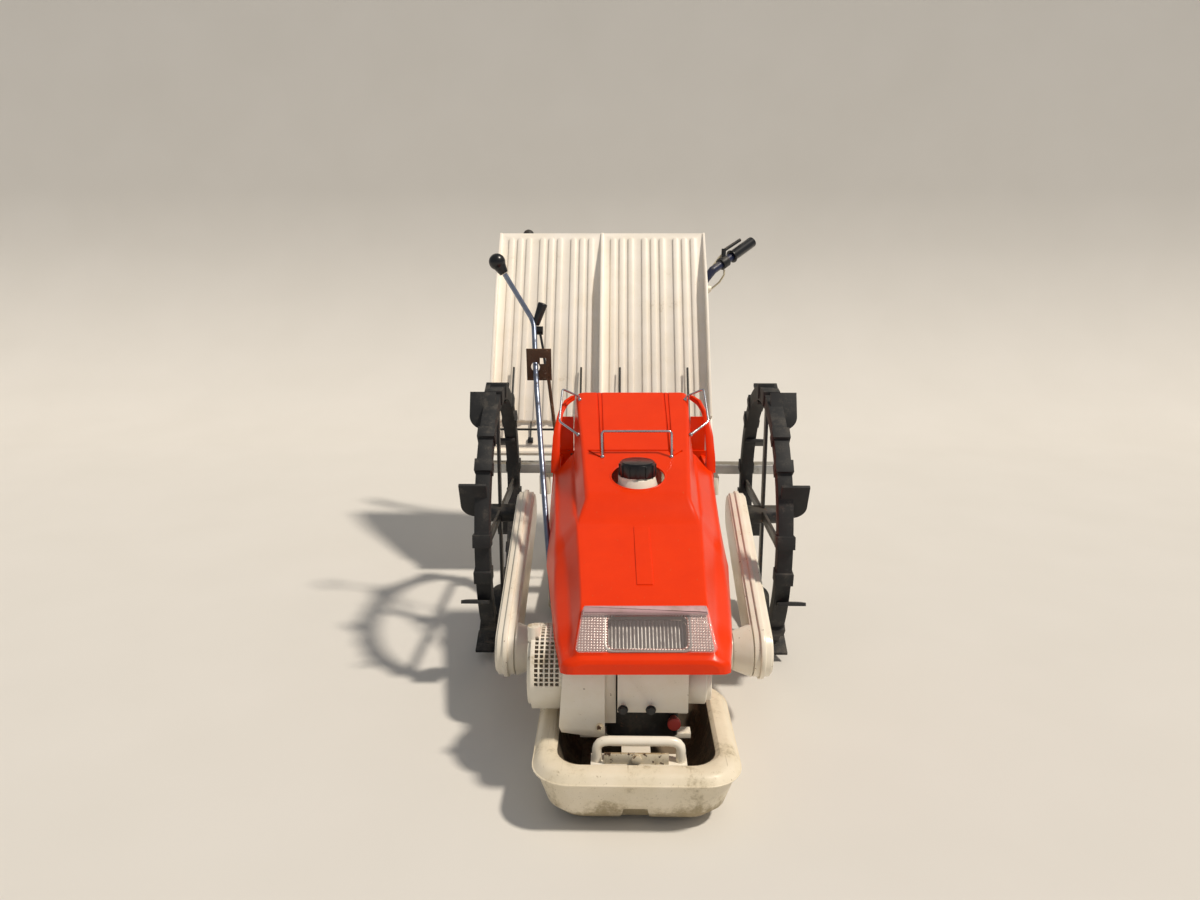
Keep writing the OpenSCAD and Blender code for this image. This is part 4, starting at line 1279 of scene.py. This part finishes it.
@dataclass
class FillerCollar:
    """Cream shoulder of the fuel tank that fills the hole in the hood under the cap."""

    spot: Point = (7, -290, 451)
    radii: tuple[float, float] = (45, 35)
    tall_mm: float = 34.0

    def build(self) -> Object:
        """Makes the collar.

        Returns:
            The dressed piece.
        """
        bm = bmesh.new()
        cone(bm, Matrix.Translation(from_axle(self.spot)), self.radii, self.tall_mm, 64)
        soften(bm, 3.0, segments=3)
        return finish_piece(bm, "filler_collar", CREAM_PP)


@dataclass
class CaseBell:
    """Cone that widens from the swing shaft's sleeve to the chain case."""

    side: Side
    inner_mm: float = 189.5
    outer_mm: float = 224.0
    radii: tuple[float, float] = (36.8, 50.0)
    wall_mm: float = 2.5

    def build(self) -> Object:
        """Makes the cone as a thin shell.

        Returns:
            The dressed piece.
        """
        bm = bmesh.new()
        sign = self.side.sign
        middle = from_axle((sign * (self.inner_mm + self.outer_mm) / 2, PIVOT_Y, PIVOT_Z))
        place = Matrix.Translation(middle) @ Matrix.Rotation(sign * math.pi / 2, 4, "Y")
        cone(bm, place, self.radii, self.outer_mm - self.inner_mm, 72, caps=False)
        face_outward(bm)
        bmesh.ops.solidify(bm, geom=bm.faces[:], thickness=self.wall_mm * MM)
        return finish_piece(bm, "case_bell_" + self.side, CREAM_ENAMEL, body="arm_" + self.side)


@dataclass
class ShroudSide:
    """Folded side of the engine shroud that stands back beside the front plate."""

    low: Point = (-53, -640, 131)
    high: Point = (-33.5, -635, 243)

    def build(self) -> Object:
        """Makes the fold.

        Returns:
            The dressed piece.
        """
        bm = bmesh.new()
        low, high = Vector(self.low), Vector(self.high)
        box(bm, Matrix.Translation(from_axle((low + high) / 2)), tuple(high - low))
        soften(bm, 1.0)
        return finish_piece(bm, "shroud_side", CREAM_ENAMEL)


@dataclass
class Bolt:
    """Hexagon bolt with a washer, on a face that looks to the front."""

    name: str
    spot: Point
    across_mm: float
    finish: Finish

    def build(self) -> Object:
        """Makes the washer and the head.

        Returns:
            The dressed piece.
        """
        place = Matrix.Translation(from_axle(self.spot)) @ Matrix.Rotation(math.pi / 2, 4, "X")
        bm = bmesh.new()
        for low, high, length_mm, out_mm, segments in ((0.72, 0.68, 1.6, 0.6, 24), (0.577, 0.55, 5, 3.4, 6)):
            radii_mm = (self.across_mm * low, self.across_mm * high)
            cone(bm, place @ Matrix.Translation((0, 0, out_mm * MM)), radii_mm, length_mm, segments)
        return finish_piece(bm, self.name, self.finish)


@dataclass
class DressedPart:
    """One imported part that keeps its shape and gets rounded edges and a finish."""

    node: str
    finish: Finish
    round_mm: float = 1.0
    body: str = "machine"
    smooth: float = 35.0
    pin: tuple[float, float, float] | None = None
    aside_mm: float = 0.0

    def slim_pin(self, bm: BMesh) -> None:
        """Moves the surface of the pin in, so that its facets pass those of its bore.

        Args:
            bm: Mesh of the part; the pin's place is given as y, z and radius in millimetres.
        """
        y, z, radius_mm = self.pin
        axis = from_axle((0, y, z))
        for vert in bm.verts:
            away = Vector((0.0, vert.co.y, vert.co.z)) - axis
            if abs(away.length - radius_mm * MM) < PIN_REACH_MM * MM:
                vert.co -= away.normalized() * PIN_CUT_MM * MM

    def build(self) -> Object:
        """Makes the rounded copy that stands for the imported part.

        Returns:
            The dressed piece.
        """
        bm = merged(self.node)
        bmesh.ops.translate(bm, verts=bm.verts, vec=(self.aside_mm * MM, 0, 0))
        if self.pin:
            self.slim_pin(bm)
        if self.round_mm > 0:
            soften(bm, self.round_mm)
        return finish_piece(bm, "worn_" + self.node, self.finish, (self.node,), self.smooth, self.body)


@dataclass
class Studio:
    """Pale floor with a curved back, even sky, sun and the camera."""

    lens_mm: float = 27.12
    eye: Point = (-0.0342, -2.0986, 0.9209)
    tilt_deg: float = 76.915
    pan_deg: float = 1.08
    floor_colours: tuple[str, str] = ("DEDBD6", "D8D5CF")
    floor_half: float = 7.0
    front_y: float = -6.0
    back_y: float = 3.2
    bend: float = 1.2
    wall_top: float = 5.0
    sky: tuple[str, float] = ("F2F5FA", 0.32)
    sun: tuple[str, float] = ("FFF4E4", 2.85)
    sun_way: Point = (-0.5, 0.2, -0.84)
    sun_deg: float = 5.0

    def build_floor(self) -> None:
        """Makes the floor and the curved wall behind it in one sheet."""
        bm = bmesh.new()
        rows = [(self.front_y, 0.0), (self.back_y - self.bend, 0.0)]
        rows += [(self.back_y - self.bend + self.bend * math.sin(a), self.bend - self.bend * math.cos(a))
                 for a in (math.radians(15 * i) for i in range(1, 7))]
        rows += [(self.back_y, self.wall_top)]
        verts = [bm.verts.new((-self.floor_half, y, z)) for y, z in rows]
        edges = [bm.edges.new(pair) for pair in zip(verts, verts[1:])]
        swept = bmesh.ops.extrude_edge_only(bm, edges=edges)["geom"]
        moved = [g for g in swept if isinstance(g, BMVert)]
        bmesh.ops.translate(bm, verts=moved, vec=(2 * self.floor_half, 0.0, 0.0))
        face_outward(bm)
        mesh = bpy.data.meshes.new("studio_floor")
        bm.to_mesh(mesh)
        bm.free()
        mesh.shade_smooth()
        floor = new_object("studio_floor", mesh)
        material, tree, place = new_surface("painted_backdrop")
        cloud = add_node(tree, "TexNoise", {"Vector": place, "Scale": 3.0}, "Fac")
        light, dark = (linear(code) for code in self.floor_colours)
        colour = add_node(tree, "Mix", {0: cloud, 6: light, 7: dark}, 2, data_type="RGBA")
        shader = add_node(tree, "BsdfPrincipled", {"Base Color": colour, "Roughness": 0.9})
        add_node(tree, "OutputMaterial", {0: shader})
        mesh.materials.append(material)

    def build_light(self) -> None:
        """Makes the even sky and a high sun from the right."""
        world = bpy.data.worlds.new("even_sky")
        bpy.context.scene.world = world
        world.use_nodes = True
        tree = world.node_tree
        tree.nodes.clear()
        sky = add_node(tree, "Background", {"Color": linear(self.sky[0]), "Strength": self.sky[1]})
        add_node(tree, "OutputWorld", {0: sky})
        sun = bpy.data.lights.new("soft_sun", "SUN")
        sun.color = linear(self.sun[0])[:3]
        sun.energy = self.sun[1]
        sun.angle = math.radians(self.sun_deg)
        holder = new_object("soft_sun", sun)
        holder.rotation_euler = Vector(self.sun_way).to_track_quat("-Z", "Y").to_euler()

    def build_camera(self) -> None:
        """Makes the camera where the photograph was taken."""
        lens = bpy.data.cameras.new("photo_camera")
        lens.sensor_width = 36.0
        lens.lens = self.lens_mm
        lens.clip_end = 60.0
        camera = new_object("photo_camera", lens)
        camera.location = self.eye
        camera.rotation_euler = (math.radians(self.tilt_deg), 0.0, math.radians(self.pan_deg))
        bpy.context.scene.camera = camera

    def build(self) -> None:
        """Makes floor, light and camera, and sets the plain view."""
        bpy.context.scene.view_settings.view_transform = "Standard"
        self.build_floor()
        self.build_light()
        self.build_camera()


PLAIN_PARTS = [
    DressedPart("main_frame", CREAM_ENAMEL, 1.5),
    DressedPart("float_links", ZINC_STEEL, 0.8),
    DressedPart("engine_block", BLACK_ENAMEL, 1.5),
    DressedPart("engine_shroud", CREAM_ENAMEL, 2.0),
    DressedPart("recoil_cover", CREAM_PP, 0.8),
    DressedPart("front_plate", CREAM_ENAMEL, 0.8),
    DressedPart("muffler", CREAM_ENAMEL, 2.0),
    DressedPart("oil_cap", RED_NYLON, 0.8, aside_mm=8.0),
    DressedPart("bumper_loop", CREAM_ENAMEL, 0.0, smooth=50),
    DressedPart("bumper_plate", WORN_ENAMEL),
    DressedPart("transmission_case", CREAM_ENAMEL, 2.0),
    DressedPart("swing_shaft", ZINC_STEEL, 0.8, pin=(PIVOT_Y, PIVOT_Z, 15.0)),
    *(DressedPart("cowl_" + side, ORANGE_ABS) for side in Side),
    DressedPart("fuel_tank", CREAM_PP, 3.0),
    DressedPart("fuel_cap", BLACK_PVC, 0.8, aside_mm=5.0),
    DressedPart("shift_knob", BLACK_PVC),
    DressedPart("gate_plate", RUSTY_SHEET, 0.5),
    DressedPart("planting_case", CREAM_ENAMEL, 2.0),
    DressedPart("feed_rail", MILL_ALUMINIUM, 0.6),
    DressedPart("rail_brackets", CREAM_ENAMEL, 0.8),
    DressedPart("tray_rest", CREAM_ENAMEL, 0.8),
    DressedPart("handle_frame", BLUE_ENAMEL, 0.8),
    DressedPart("grips", BLACK_PVC, 1.5),
    DressedPart("clutch_levers", BLACK_ENAMEL, 0.8),
    DressedPart("control_cables", SHEATH_PVC, 0.0, smooth=60),
    *(DressedPart("case_" + side, CREAM_ENAMEL, 2.0, "arm_" + side) for side in Side),
    *(DressedPart("rim_" + side, BLACK_ENAMEL, 1.0, "wheel_" + side, pin=(0.0, HUB_Z, 11.0))
      for side in Side),
    *(DressedPart("tyre_" + side, RUBBER, 2.0, "wheel_" + side) for side in Side),
    *(DressedPart("hub_cap_" + side, CREAM_ENAMEL, 1.5, "wheel_" + side) for side in Side),
    DressedPart("tray_lip", TRAY_ABS, 1.0, "tray"),
    DressedPart("retainer_rods", BLACK_ENAMEL, 0.8, "tray"),
    DressedPart("feed_adjuster", BLACK_ENAMEL, 0.8, "tray"),
    *(DressedPart("crank_" + side, ZINC_STEEL, 0.8, "crank_" + side) for side in Side),
    *(DressedPart("planter_" + side, CREAM_ENAMEL, 1.5, "planter_" + side) for side in Side),
]


# Bolts that show. Places are in millimetres from the axle.
BOLTS = [
    Bolt("bolt_plate_left", (-22, -661.5, 168), 12, BLACK_ENAMEL),
    Bolt("bolt_plate_right", (24, -661.5, 168), 12, BLACK_ENAMEL),
    Bolt("bolt_shroud", (-60, -661.5, 137), 9, WORN_ENAMEL),
]


def main() -> None:
    """Builds the studio and dresses every part."""
    logging.basicConfig(level=logging.INFO, format="%(message)s")
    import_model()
    Studio().build()
    Lamp().build()
    heroes = (Float(), Hood(), HoodLoop(Side.LEFT), HoodLoop(Side.RIGHT), FillerCollar(), GuardWires(),
              Tray(), ThrottleLever(), TubMudAndShade(), ShroudSide(), CaseBell(Side.LEFT), CaseBell(Side.RIGHT),
              ShiftLever())
    for part in (*heroes, *PLAIN_PARTS, *BOLTS):
        piece = part.build()
        LOG.info("%s: %d faces", piece.name, len(piece.data.polygons))


if __name__ == "__main__":
    main()
